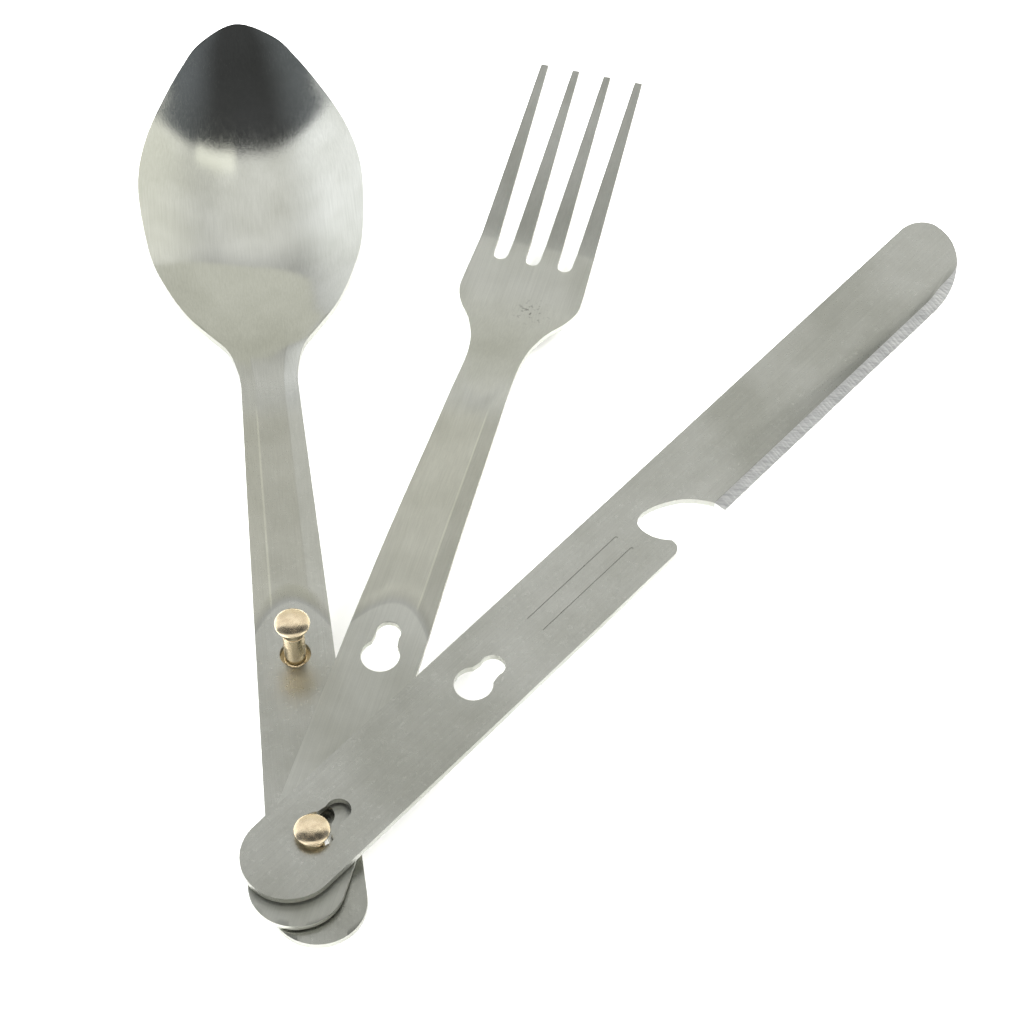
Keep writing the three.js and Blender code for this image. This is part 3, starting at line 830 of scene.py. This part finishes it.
def add_node(tree, kind, settings=None, inputs=None):
    """Adds a node, sets its settings, and fills or links its inputs."""
    node = tree.nodes.new(kind)
    for name, value in (settings or {}).items():
        setattr(node, name, value)
    for name, value in (inputs or {}).items():
        socket = node.inputs[name]
        if isinstance(value, bpy.types.NodeSocket):
            tree.links.new(value, socket)
        else:
            socket.default_value = value
    return node


def start_material(name):
    """A new material and its shader."""
    material = bpy.data.materials.new(name)
    material.use_nodes = True
    return material, material.node_tree, material.node_tree.nodes["Principled BSDF"]


def colour(values):
    return (*values, 1.0)


def satin_stainless(
        name, finishes, angle, polished_from, stains, pressed=None,
        plain_tone=0.87, plain_rough=(0.27, 0.38)):
    """Stamped 18/0 stainless sheet, roll-finished and tumbled.

    It gives a grey, faintly yellow sheen with a fine lengthwise grain, cloudy dull patches,
    short handling scratches and, past polished_from (mm along the piece), a brighter polish.
    """
    material, tree, shader = start_material(name)
    place = add_node(tree, "ShaderNodeTexCoord").outputs["Object"]
    own = add_node(tree, "ShaderNodeMapping", {"vector_type": "POINT"}, {
        "Vector": place, "Rotation": (0, 0, math.radians(angle)),
        "Scale": (1000, 1000, 1000)}).outputs["Vector"]
    parts = add_node(tree, "ShaderNodeSeparateXYZ", inputs={"Vector": own})

    # Grain lines run along the piece, about 0.25 mm apart and tens of millimetres long.
    grain_place = add_node(tree, "ShaderNodeMapping", inputs={
        "Vector": own, "Scale": (4.0, 0.06, 4.0)}).outputs["Vector"]
    grain = add_node(tree, "ShaderNodeTexNoise", inputs={
        "Vector": grain_place, "Scale": 1.0, "Detail": 4.0, "Roughness": 0.65})
    # Tumbling leaves short curved marks a millimetre or two long.
    tumble = add_node(tree, "ShaderNodeTexNoise", inputs={
        "Vector": own, "Scale": 1.9, "Detail": 3.0, "Roughness": 0.6, "Distortion": 1.6})
    # Clouds of duller metal, 15 to 30 mm across.
    clouds = add_node(tree, "ShaderNodeTexNoise", inputs={
        "Vector": own, "Scale": 0.045, "Detail": 3.0, "Roughness": 0.55})
    cloud_share = add_node(tree, "ShaderNodeMapRange", inputs={
        "Value": clouds.outputs["Fac"], "From Min": 0.38, "From Max": 0.66}).outputs["Result"]
    polish = add_node(tree, "ShaderNodeMapRange", EASE, {
        "Value": parts.outputs["Y"], "From Min": polished_from - 6.0,
        "From Max": polished_from + 8.0}).outputs["Result"]

    base = add_node(tree, "ShaderNodeMix", COLOURS, {
        "Factor": cloud_share, 6: colour(finishes.steel), 7: colour(finishes.steel_dull)})
    lined = add_node(tree, "ShaderNodeMapRange", inputs={
        "Value": grain.outputs["Fac"], "From Min": 0.3, "From Max": 0.7,
        "To Min": 0.93, "To Max": 1.04}).outputs["Result"]
    cleaner = add_node(tree, "ShaderNodeMapRange", inputs={
        "Value": polish, "To Min": plain_tone, "To Max": 1.0}).outputs["Result"]
    lined = add_node(tree, "ShaderNodeMath", {"operation": "MULTIPLY"}, {
        0: lined, 1: cleaner}).outputs["Value"]
    tone = add_node(tree, "ShaderNodeMix", MULTIPLY, {
        "Factor": 1.0, 6: base.outputs[2], 7: lined})
    result = tone.outputs[2]
    # Over the pressed channel, the tone gets painted shade and painted highlights.
    if pressed:
        result = painted_channel_light(tree, result, parts, **pressed)
    for centre_x, centre_y, size in stains:
        spot = add_node(tree, "ShaderNodeVectorMath", {"operation": "DISTANCE"}, {
            0: own, 1: (centre_x, centre_y, 3.0)}).outputs["Value"]
        near = add_node(tree, "ShaderNodeMapRange", EASE, {
            "Value": spot, "From Min": size + 3.2, "From Max": 0.0}).outputs["Result"]
        speck = add_node(tree, "ShaderNodeTexNoise", inputs={
            "Vector": own, "Scale": 1.1, "Detail": 2.0, "Roughness": 0.6})
        dots = add_node(tree, "ShaderNodeMapRange", inputs={
            "Value": speck.outputs["Fac"], "From Min": 0.56, "From Max": 0.66,
            "To Max": 0.9}).outputs["Result"]
        share = add_node(tree, "ShaderNodeMath", {"operation": "MULTIPLY"}, {
            0: near, 1: dots}).outputs["Value"]
        stained = add_node(tree, "ShaderNodeMix", COLOURS, {
            "Factor": share, 6: result, 7: colour(finishes.stain)})
        result = stained.outputs[2]
    tree.links.new(result, shader.inputs["Base Color"])

    satin = add_node(tree, "ShaderNodeMapRange", inputs={
        "Value": tumble.outputs["Fac"], "From Min": 0.35, "From Max": 0.65,
        "To Min": plain_rough[0], "To Max": plain_rough[1]}).outputs["Result"]
    bright = add_node(tree, "ShaderNodeMapRange", inputs={
        "Value": grain.outputs["Fac"], "From Min": 0.3, "From Max": 0.7,
        "To Min": 0.06, "To Max": 0.11}).outputs["Result"]
    rough = add_node(tree, "ShaderNodeMix", {"data_type": "FLOAT"}, {
        "Factor": polish, 2: satin, 3: bright})
    tree.links.new(rough.outputs[0], shader.inputs["Roughness"])

    relief = add_node(tree, "ShaderNodeMath", {"operation": "MULTIPLY_ADD"}, {
        0: tumble.outputs["Fac"], 1: 0.6, 2: grain.outputs["Fac"]}).outputs["Value"]
    bump = add_node(tree, "ShaderNodeBump", inputs={
        "Height": relief, "Strength": 0.22, "Distance": 0.00002})
    tree.links.new(bump.outputs["Normal"], shader.inputs["Normal"])
    shader.inputs["Metallic"].default_value = 1.0
    return material


def painted_channel_light(tree, tone, parts, half_at_zero, taper, end, left, right, highlight_line):
    """Paints light and shade into a steel's tone over the pressed channel.

    It paints a band of shade along the channel's arch, a highlight line along one crease, and
    painted light or painted shade on each flank, and tints the channel faintly yellower.
    """
    x, y = parts.outputs["X"], parts.outputs["Y"]
    half = add_node(tree, "ShaderNodeMath", {"operation": "MULTIPLY_ADD"}, {
        0: y, 1: -taper, 2: half_at_zero}).outputs["Value"]
    share = add_node(tree, "ShaderNodeMath", {"operation": "DIVIDE"}, {
        0: x, 1: half}).outputs["Value"]
    square = add_node(tree, "ShaderNodeMath", {"operation": "MULTIPLY"}, {
        0: share, 1: share}).outputs["Value"]
    past = add_node(tree, "ShaderNodeMath", {"operation": "MULTIPLY_ADD"}, {
        0: square, 1: CHANNEL_ARCH, 2: y}).outputs["Value"]
    formed = add_node(tree, "ShaderNodeMapRange", EASE, {
        "Value": past, "From Min": CHANNEL_START, "From Max": CHANNEL_START + 2.0})
    ended = add_node(tree, "ShaderNodeMapRange", EASE, {
        "Value": y, "From Min": end + 3.0, "From Max": end - 3.0})
    inside = add_node(tree, "ShaderNodeMath", {"operation": "MULTIPLY"}, {
        0: formed.outputs["Result"], 1: ended.outputs["Result"]}).outputs["Value"]
    # Painted shade: a dark band along the channel's arch, where its slope begins.
    arch_shade_start = add_node(tree, "ShaderNodeMapRange", EASE, {
        "Value": past, "From Min": CHANNEL_START - 0.4, "From Max": CHANNEL_START + 0.4})
    arch_shade_end = add_node(tree, "ShaderNodeMapRange", EASE, {
        "Value": past, "From Min": CHANNEL_START + 4.5, "From Max": CHANNEL_START + 0.8})
    arch_shade = add_node(tree, "ShaderNodeMath", {"operation": "MULTIPLY"}, {
        0: arch_shade_start.outputs["Result"], 1: arch_shade_end.outputs["Result"]}).outputs["Value"]
    # Painted light and painted shade: each flank is toned lighter or darker by how its slope
    # faces the light.
    for start, full, flank_light in ((0.44, 0.54, right), (-0.44, -0.54, left)):
        flank_shading = add_node(tree, "ShaderNodeMapRange", EASE, {
            "Value": share, "From Min": start, "From Max": full}).outputs["Result"]
        place = add_node(tree, "ShaderNodeMath", {"operation": "MULTIPLY"}, {
            0: flank_shading, 1: inside}).outputs["Value"]
        shaded = add_node(tree, "ShaderNodeMix", MULTIPLY, {
            "Factor": place, 6: tone, 7: (flank_light, flank_light, flank_light, 1)})
        tone = shaded.outputs[2]
    # Painted highlight: a bright line along one crease of the channel.
    away = add_node(tree, "ShaderNodeMath", {"operation": "COMPARE"}, {
        0: share, 1: highlight_line, 2: 0.028}).outputs["Value"]
    crease_highlight = add_node(tree, "ShaderNodeMath", {"operation": "MULTIPLY"}, {
        0: away, 1: inside}).outputs["Value"]
    # Painted shade on the arch, a painted highlight on the crease, and a faint yellow tint over
    # the whole channel.
    for place, colours in ((arch_shade, (0.8, 0.8, 0.81, 1)), (crease_highlight, (1.22, 1.22, 1.2, 1)),
                           (inside, (1.0, 0.99, 0.95, 1))):
        shaded = add_node(tree, "ShaderNodeMix", MULTIPLY, {
            "Factor": place, 6: tone, 7: colours})
        tone = shaded.outputs[2]
    return tone


def ground_stainless(name, finishes, angle):
    """Stainless steel cut by a coarse wheel across the edge.

    It gives bright, sharp streaks across the band with dark grooves between them.
    """
    material, tree, shader = start_material(name)
    place = add_node(tree, "ShaderNodeTexCoord").outputs["Object"]
    # Wheel marks run across the edge, about 0.15 mm apart.
    own = add_node(tree, "ShaderNodeMapping", inputs={
        "Vector": place, "Rotation": (0, 0, math.radians(angle)),
        "Scale": (400, 5200, 400)}).outputs["Vector"]
    marks = add_node(tree, "ShaderNodeTexNoise", inputs={
        "Vector": own, "Scale": 1.0, "Detail": 3.0, "Roughness": 0.7})
    ramp = add_node(tree, "ShaderNodeMapRange", inputs={
        "Value": marks.outputs["Fac"], "From Min": 0.36, "From Max": 0.6,
        "To Min": 0.74, "To Max": 1.0}).outputs["Result"]
    tone = add_node(tree, "ShaderNodeMix", MULTIPLY, {
        "Factor": 1.0, 6: colour(finishes.ground), 7: ramp})
    tree.links.new(tone.outputs[2], shader.inputs["Base Color"])
    rough = add_node(tree, "ShaderNodeMapRange", inputs={
        "Value": marks.outputs["Fac"], "To Min": 0.35, "To Max": 0.6}).outputs["Result"]
    tree.links.new(rough, shader.inputs["Roughness"])
    bump = add_node(tree, "ShaderNodeBump", inputs={
        "Height": marks.outputs["Fac"], "Strength": 0.4, "Distance": 0.00003})
    tree.links.new(bump.outputs["Normal"], shader.inputs["Normal"])
    shader.inputs["Metallic"].default_value = 1.0
    return material


def turned_brass(name, finishes, axis_y):
    """Pale brass, turned and tumbled.

    It gives a warm pale gold with fine rings from turning and faint patches of browner
    patina.
    """
    material, tree, shader = start_material(name)
    place = add_node(tree, "ShaderNodeTexCoord").outputs["Object"]
    own = add_node(tree, "ShaderNodeMapping", inputs={
        "Vector": place, "Location": (0, -axis_y * 1000, 0),
        "Scale": (1000, 1000, 1000)}).outputs["Vector"]
    parts = add_node(tree, "ShaderNodeSeparateXYZ", inputs={"Vector": own})
    flat = add_node(tree, "ShaderNodeCombineXYZ", inputs={
        "X": parts.outputs["X"], "Y": parts.outputs["Y"]}).outputs["Vector"]
    radius = add_node(tree, "ShaderNodeVectorMath", {"operation": "LENGTH"}, {
        0: flat}).outputs["Value"]
    # Rings from turning, about 0.15 mm apart.
    rings = add_node(tree, "ShaderNodeTexNoise", {"noise_dimensions": "1D"}, {
        "W": radius, "Scale": 6.5, "Detail": 2.0})
    blotches = add_node(tree, "ShaderNodeTexNoise", inputs={
        "Vector": own, "Scale": 0.9, "Detail": 3.0, "Roughness": 0.6})
    patina = add_node(tree, "ShaderNodeMapRange", inputs={
        "Value": blotches.outputs["Fac"], "From Min": 0.35, "From Max": 0.65,
        "To Min": 0.0, "To Max": 0.16}).outputs["Result"]
    tone = add_node(tree, "ShaderNodeMix", COLOURS, {
        "Factor": patina, 6: colour(finishes.brass), 7: colour(finishes.brass_dark)})
    tree.links.new(tone.outputs[2], shader.inputs["Base Color"])
    rough = add_node(tree, "ShaderNodeMapRange", inputs={
        "Value": blotches.outputs["Fac"], "From Min": 0.35, "From Max": 0.65,
        "To Min": 0.17, "To Max": 0.3}).outputs["Result"]
    tree.links.new(rough, shader.inputs["Roughness"])
    bump = add_node(tree, "ShaderNodeBump", inputs={
        "Height": rings.outputs["Fac"], "Strength": 0.25, "Distance": 0.00003})
    tree.links.new(bump.outputs["Normal"], shader.inputs["Normal"])
    shader.inputs["Metallic"].default_value = 1.0
    return material


def seamless_paper(name, finishes):
    """White background paper: matt, with a faint tooth."""
    material, tree, shader = start_material(name)
    place = add_node(tree, "ShaderNodeTexCoord").outputs["Object"]
    tooth = add_node(tree, "ShaderNodeTexNoise", inputs={
        "Vector": place, "Scale": 900.0, "Detail": 2.0})
    bump = add_node(tree, "ShaderNodeBump", inputs={
        "Height": tooth.outputs["Fac"], "Strength": 0.05, "Distance": 0.0001})
    tree.links.new(bump.outputs["Normal"], shader.inputs["Normal"])
    shader.inputs["Base Color"].default_value = colour(finishes.floor)
    shader.inputs["Roughness"].default_value = 0.9
    shader.inputs["Specular IOR Level"].default_value = 0.1
    return material


# ---- stage ----

TARGET = Vector((38.72, 61.01, 6.5)) * MM
DISTANCE = 558.8 * MM
ELEVATION = math.radians(53.41)
AZIMUTH = math.radians(6.31)
ROLL = math.radians(-0.54)
FOCAL = 3300 / 1024 * 36


def make_camera():
    """The camera, above the handles and looking towards the working ends."""
    ahead = Vector((
        math.sin(AZIMUTH) * math.cos(ELEVATION), math.cos(AZIMUTH) * math.cos(ELEVATION),
        -math.sin(ELEVATION)))
    right = Vector((math.cos(AZIMUTH), -math.sin(AZIMUTH), 0))
    up = right.cross(ahead)
    side = right * math.cos(ROLL) + up * math.sin(ROLL)
    top = up * math.cos(ROLL) - right * math.sin(ROLL)
    data = bpy.data.cameras.new("Camera")
    data.lens = FOCAL
    data.sensor_width = 36
    data.clip_start = 0.01
    camera = bpy.data.objects.new("Camera", data)
    place = Matrix((side, top, -ahead)).transposed().to_4x4()
    place.translation = TARGET - ahead * DISTANCE
    camera.matrix_world = place
    bpy.context.scene.collection.objects.link(camera)
    bpy.context.scene.camera = camera


OPENING_AXIS = (0, -math.sin(math.radians(64.6)), math.cos(math.radians(64.6)))
SWEEP_AXIS = (0.134, 0.979, 0.156)
SWEEP_EDGE = 0.872
LEFT_WALL = (1.42, 1.44, 1.5, 1)
RIGHT_WALL = (1.3, 1.3, 1.25, 1)
SWEEP = (0.8, 0.8, 0.74, 1)
BEYOND_MIDDLE = (0.075, 0.077, 0.083, 1)
BEYOND_SIDES = (0.2, 0.215, 0.24, 1)
LAMP = (1.6, 1.6, 1.52, 1)


def make_room():
    """A white light tent, dark beyond its opening, as soft surroundings."""
    world = bpy.data.worlds.new("Light tent")
    bpy.context.scene.world = world
    world.use_nodes = True
    tree = world.node_tree
    background = tree.nodes["Background"]
    way = add_node(tree, "ShaderNodeTexCoord").outputs["Generated"]
    parts = add_node(tree, "ShaderNodeSeparateXYZ", inputs={"Vector": way})
    # The walls brighten overhead, and the two side walls are brighter still.
    walls = add_node(tree, "ShaderNodeMapRange", EASE, {
        "Value": parts.outputs["Z"], "From Min": 0.42, "From Max": 0.94,
        "To Min": 0.55, "To Max": 1.12}).outputs["Result"]
    left = add_node(tree, "ShaderNodeMapRange", EASE, {
        "Value": parts.outputs["X"], "From Min": -0.2, "From Max": -0.66}).outputs["Result"]
    right = add_node(tree, "ShaderNodeMapRange", EASE, {
        "Value": parts.outputs["X"], "From Min": 0.3, "From Max": 0.78}).outputs["Result"]
    half_lit = add_node(tree, "ShaderNodeMix", COLOURS, {
        "Factor": left, 6: walls, 7: LEFT_WALL}).outputs[2]
    tent = add_node(tree, "ShaderNodeMix", COLOURS, {
        "Factor": right, 6: half_lit, 7: RIGHT_WALL}).outputs[2]
    # The floor sweeps up behind as a lighter, warmer hump.
    hump = add_node(tree, "ShaderNodeVectorMath", {"operation": "DOT_PRODUCT"}, {
        0: way, 1: SWEEP_AXIS}).outputs["Value"]
    sweep = add_node(tree, "ShaderNodeMapRange", EASE, {
        "Value": hump, "From Min": SWEEP_EDGE - 0.01,
        "From Max": SWEEP_EDGE + 0.01}).outputs["Result"]
    backdrop = add_node(tree, "ShaderNodeMix", COLOURS, {
        "Factor": sweep, 6: tent, 7: SWEEP})
    # The opening: everything in front of a plane that leans back overhead, wider aside.
    aside = add_node(tree, "ShaderNodeMath", {"operation": "ABSOLUTE"}, {
        0: parts.outputs["X"]}).outputs["Value"]
    ahead = add_node(tree, "ShaderNodeVectorMath", {"operation": "DOT_PRODUCT"}, {
        0: way, 1: OPENING_AXIS}).outputs["Value"]
    opening = add_node(tree, "ShaderNodeMath", {"operation": "MULTIPLY_ADD"}, {
        0: aside, 1: 0.05, 2: ahead}).outputs["Value"]
    open_share = add_node(tree, "ShaderNodeMapRange", EASE, {
        "Value": opening, "From Min": -0.004, "From Max": 0.022}).outputs["Result"]
    closed = add_node(tree, "ShaderNodeMapRange", EASE, {
        "Value": parts.outputs["Y"], "From Min": -0.35, "From Max": -0.15}).outputs["Result"]
    dark_share = add_node(tree, "ShaderNodeMath", {"operation": "MULTIPLY"}, {
        0: open_share, 1: closed}).outputs["Value"]
    dim = add_node(tree, "ShaderNodeMapRange", EASE, {
        "Value": aside, "From Min": 0.25, "From Max": 0.8}).outputs["Result"]
    beyond = add_node(tree, "ShaderNodeMix", COLOURS, {
        "Factor": dim, 6: BEYOND_MIDDLE, 7: BEYOND_SIDES})
    seen = add_node(tree, "ShaderNodeMix", COLOURS, {
        "Factor": dark_share, 6: backdrop.outputs[2], 7: beyond.outputs[2]})
    # A lamp lies along the opening's edge, a little to one side.
    lamp_share = None
    for value, start, full in (
            (opening, -0.04, -0.024), (opening, 0.03, 0.014),
            (parts.outputs["X"], 0.06, 0.13), (parts.outputs["X"], 0.52, 0.44)):
        within = add_node(tree, "ShaderNodeMapRange", EASE, {
            "Value": value, "From Min": start, "From Max": full}).outputs["Result"]
        if lamp_share is None:
            lamp_share = within
        else:
            lamp_share = add_node(tree, "ShaderNodeMath", {"operation": "MULTIPLY"}, {
                0: lamp_share, 1: within}).outputs["Value"]
    lit = add_node(tree, "ShaderNodeMix", COLOURS, {
        "Factor": lamp_share, 6: seen.outputs[2], 7: LAMP})
    tree.links.new(lit.outputs[2], background.inputs["Color"])


def make_stage(finishes):
    """Floor, soft lamps, surroundings and camera."""
    bm = bmesh.new()
    bmesh.ops.create_grid(bm, x_segments=4, y_segments=4, size=3.0)
    bmesh.ops.translate(bm, verts=bm.verts, vec=(0, 0, CAD_BOX[0][2] - 0.0001))
    floor = new_object("floor", bm)
    floor.data.materials.append(seamless_paper("white_paper_floor", finishes))
    for name, place, power in (
            ("Lamp left", (-0.9, 0.3, 1.0), 24), ("Lamp right", (1.0, 0.2, 1.0), 24),
            ("Lamp back", (0.0, 1.2, 1.1), 18)):
        data = bpy.data.lights.new(name, "AREA")
        data.shape = "SQUARE"
        data.size = 0.8
        data.energy = power
        lamp = bpy.data.objects.new(name, data)
        lamp.location = place
        lamp.rotation_euler = (TARGET - Vector(place)).to_track_quat("-Z", "Y").to_euler()
        lamp.visible_glossy = False
        bpy.context.scene.collection.objects.link(lamp)
    make_room()
    make_camera()
    bpy.context.scene.view_settings.view_transform = "Standard"


# ---- operators ----


class CUTLERY_OT_stage(bpy.types.Operator):
    """Make the floor, lamps, surroundings and camera"""

    bl_idname = "cutlery.stage"
    bl_label = "Stage"

    def execute(self, context):
        make_stage(context.scene.cutlery_finishes)
        return {"FINISHED"}


class CUTLERY_OT_spoon(bpy.types.Operator):
    """Make the spoon"""

    bl_idname = "cutlery.spoon"
    bl_label = "Spoon"

    def execute(self, context):
        sizes, finishes = context.scene.cutlery_sizes, context.scene.cutlery_finishes
        # Channel shading: painted light on the left flank, painted shade on the right, and a
        # painted highlight along the left crease.
        pressed = {"half_at_zero": 7.35, "taper": 0.0244, "end": SPOON_NECK - 6,
                   "left": 1.03, "right": 0.97, "highlight_line": -0.52}
        steel = satin_stainless(
            "satin_stainless_spoon", finishes, 0, SPOON_NECK + 2, [], pressed)
        piece = make_piece(
            "spoon_sheet", make_spoon(sizes), "spoon", "spoon", [steel])
        soften_edges(piece, sizes.rim_round, 3, 40)
        return {"FINISHED"}


class CUTLERY_OT_fork(bpy.types.Operator):
    """Make the fork"""

    bl_idname = "cutlery.fork"
    bl_label = "Fork"

    def execute(self, context):
        sizes, finishes = context.scene.cutlery_sizes, context.scene.cutlery_finishes
        # Channel shading: painted shade on the right flank and a painted highlight along the
        # right crease.
        pressed = {"half_at_zero": 7.93, "taper": 0.0308, "end": FORK_CHANNEL_END,
                   "left": 1.0, "right": 0.84, "highlight_line": 0.5}
        steel = satin_stainless(
            "satin_stainless_fork", finishes, FORK_ANGLE, 400, [(3.2, 118.5, 1.5)],
            pressed, 1.08, (0.42, 0.52))
        piece = make_piece(
            "fork_sheet", make_fork(), "fork", "fork", [steel],
            FORK_ANGLE, FORK_SHIFT)
        soften_edges(piece, sizes.edge_round, 2, 40)
        return {"FINISHED"}


class CUTLERY_OT_knife(bpy.types.Operator):
    """Make the knife"""

    bl_idname = "cutlery.knife"
    bl_label = "Knife"

    def execute(self, context):
        sizes, finishes = context.scene.cutlery_sizes, context.scene.cutlery_finishes
        steel = satin_stainless("satin_stainless_knife", finishes, KNIFE_ANGLE, 400, [])
        edge = ground_stainless("ground_stainless_edge", finishes, KNIFE_ANGLE)
        piece = make_piece(
            "knife_plate", make_knife(sizes), "knife", "knife", [steel, edge],
            KNIFE_ANGLE, KNIFE_SHIFT)
        for polygon in piece.data.polygons:
            polygon.use_smooth = abs(polygon.normal.z) < 0.9999
        piece.data.set_sharp_from_angle(angle=math.radians(40))
        return {"FINISHED"}


class CUTLERY_OT_rivets(bpy.types.Operator):
    """Make both rivets, each a post and a cap"""

    bl_idname = "cutlery.rivets"
    bl_label = "Rivets"

    def execute(self, context):
        sizes, finishes = context.scene.cutlery_rivets, context.scene.cutlery_finishes
        for rivet, y, lift, bodies in (
                ("pivot_rivet", 0.0, 0.0, ("pivot_post", "pivot_cap")),
                ("latch_rivet", RIVET_PITCH, PIVOT_DROP, ("latch_rivet", "latch_rivet"))):
            brass = turned_brass("turned_brass_" + rivet, finishes, y * MM)
            for half, profile, body in (
                    ("post", post_profile(sizes), bodies[0]),
                    ("cap", cap_profile(sizes), bodies[1])):
                node = rivet + "_" + half
                make_piece(
                    node + "_turned", turned(profile, y, lift, sizes.turns), body, node,
                    [brass])
        return {"FINISHED"}


class CUTLERY_PT_panel(bpy.types.Panel):
    """Lists the pieces and their sizes"""

    bl_idname = "CUTLERY_PT_panel"
    bl_label = "Picnic Cutlery"
    bl_space_type = "VIEW_3D"
    bl_region_type = "UI"
    bl_category = "Cutlery"

    def draw(self, context):
        scene = context.scene
        for group in (scene.cutlery_sizes, scene.cutlery_rivets, scene.cutlery_finishes):
            for name in group.__annotations__:
                self.layout.prop(group, name)
        for operator in OPERATORS:
            self.layout.operator(operator.bl_idname)


OPERATORS = (
    CUTLERY_OT_stage, CUTLERY_OT_spoon, CUTLERY_OT_fork, CUTLERY_OT_knife, CUTLERY_OT_rivets)
GROUPS = (CutlerySizes, CutleryRivetSizes, CutleryFinishes)


def register():
    for item in GROUPS + OPERATORS + (CUTLERY_PT_panel,):
        bpy.utils.register_class(item)
    bpy.types.Scene.cutlery_sizes = PointerProperty(type=CutlerySizes)
    bpy.types.Scene.cutlery_rivets = PointerProperty(type=CutleryRivetSizes)
    bpy.types.Scene.cutlery_finishes = PointerProperty(type=CutleryFinishes)


def unregister():
    del bpy.types.Scene.cutlery_finishes
    del bpy.types.Scene.cutlery_rivets
    del bpy.types.Scene.cutlery_sizes
    for item in reversed(GROUPS + OPERATORS + (CUTLERY_PT_panel,)):
        bpy.utils.unregister_class(item)


def main():
    """Builds everything."""
    register()
    bpy.ops.cutlery.stage()
    bpy.ops.cutlery.spoon()
    bpy.ops.cutlery.fork()
    bpy.ops.cutlery.knife()
    bpy.ops.cutlery.rivets()


if __name__ == "__main__":
    main()
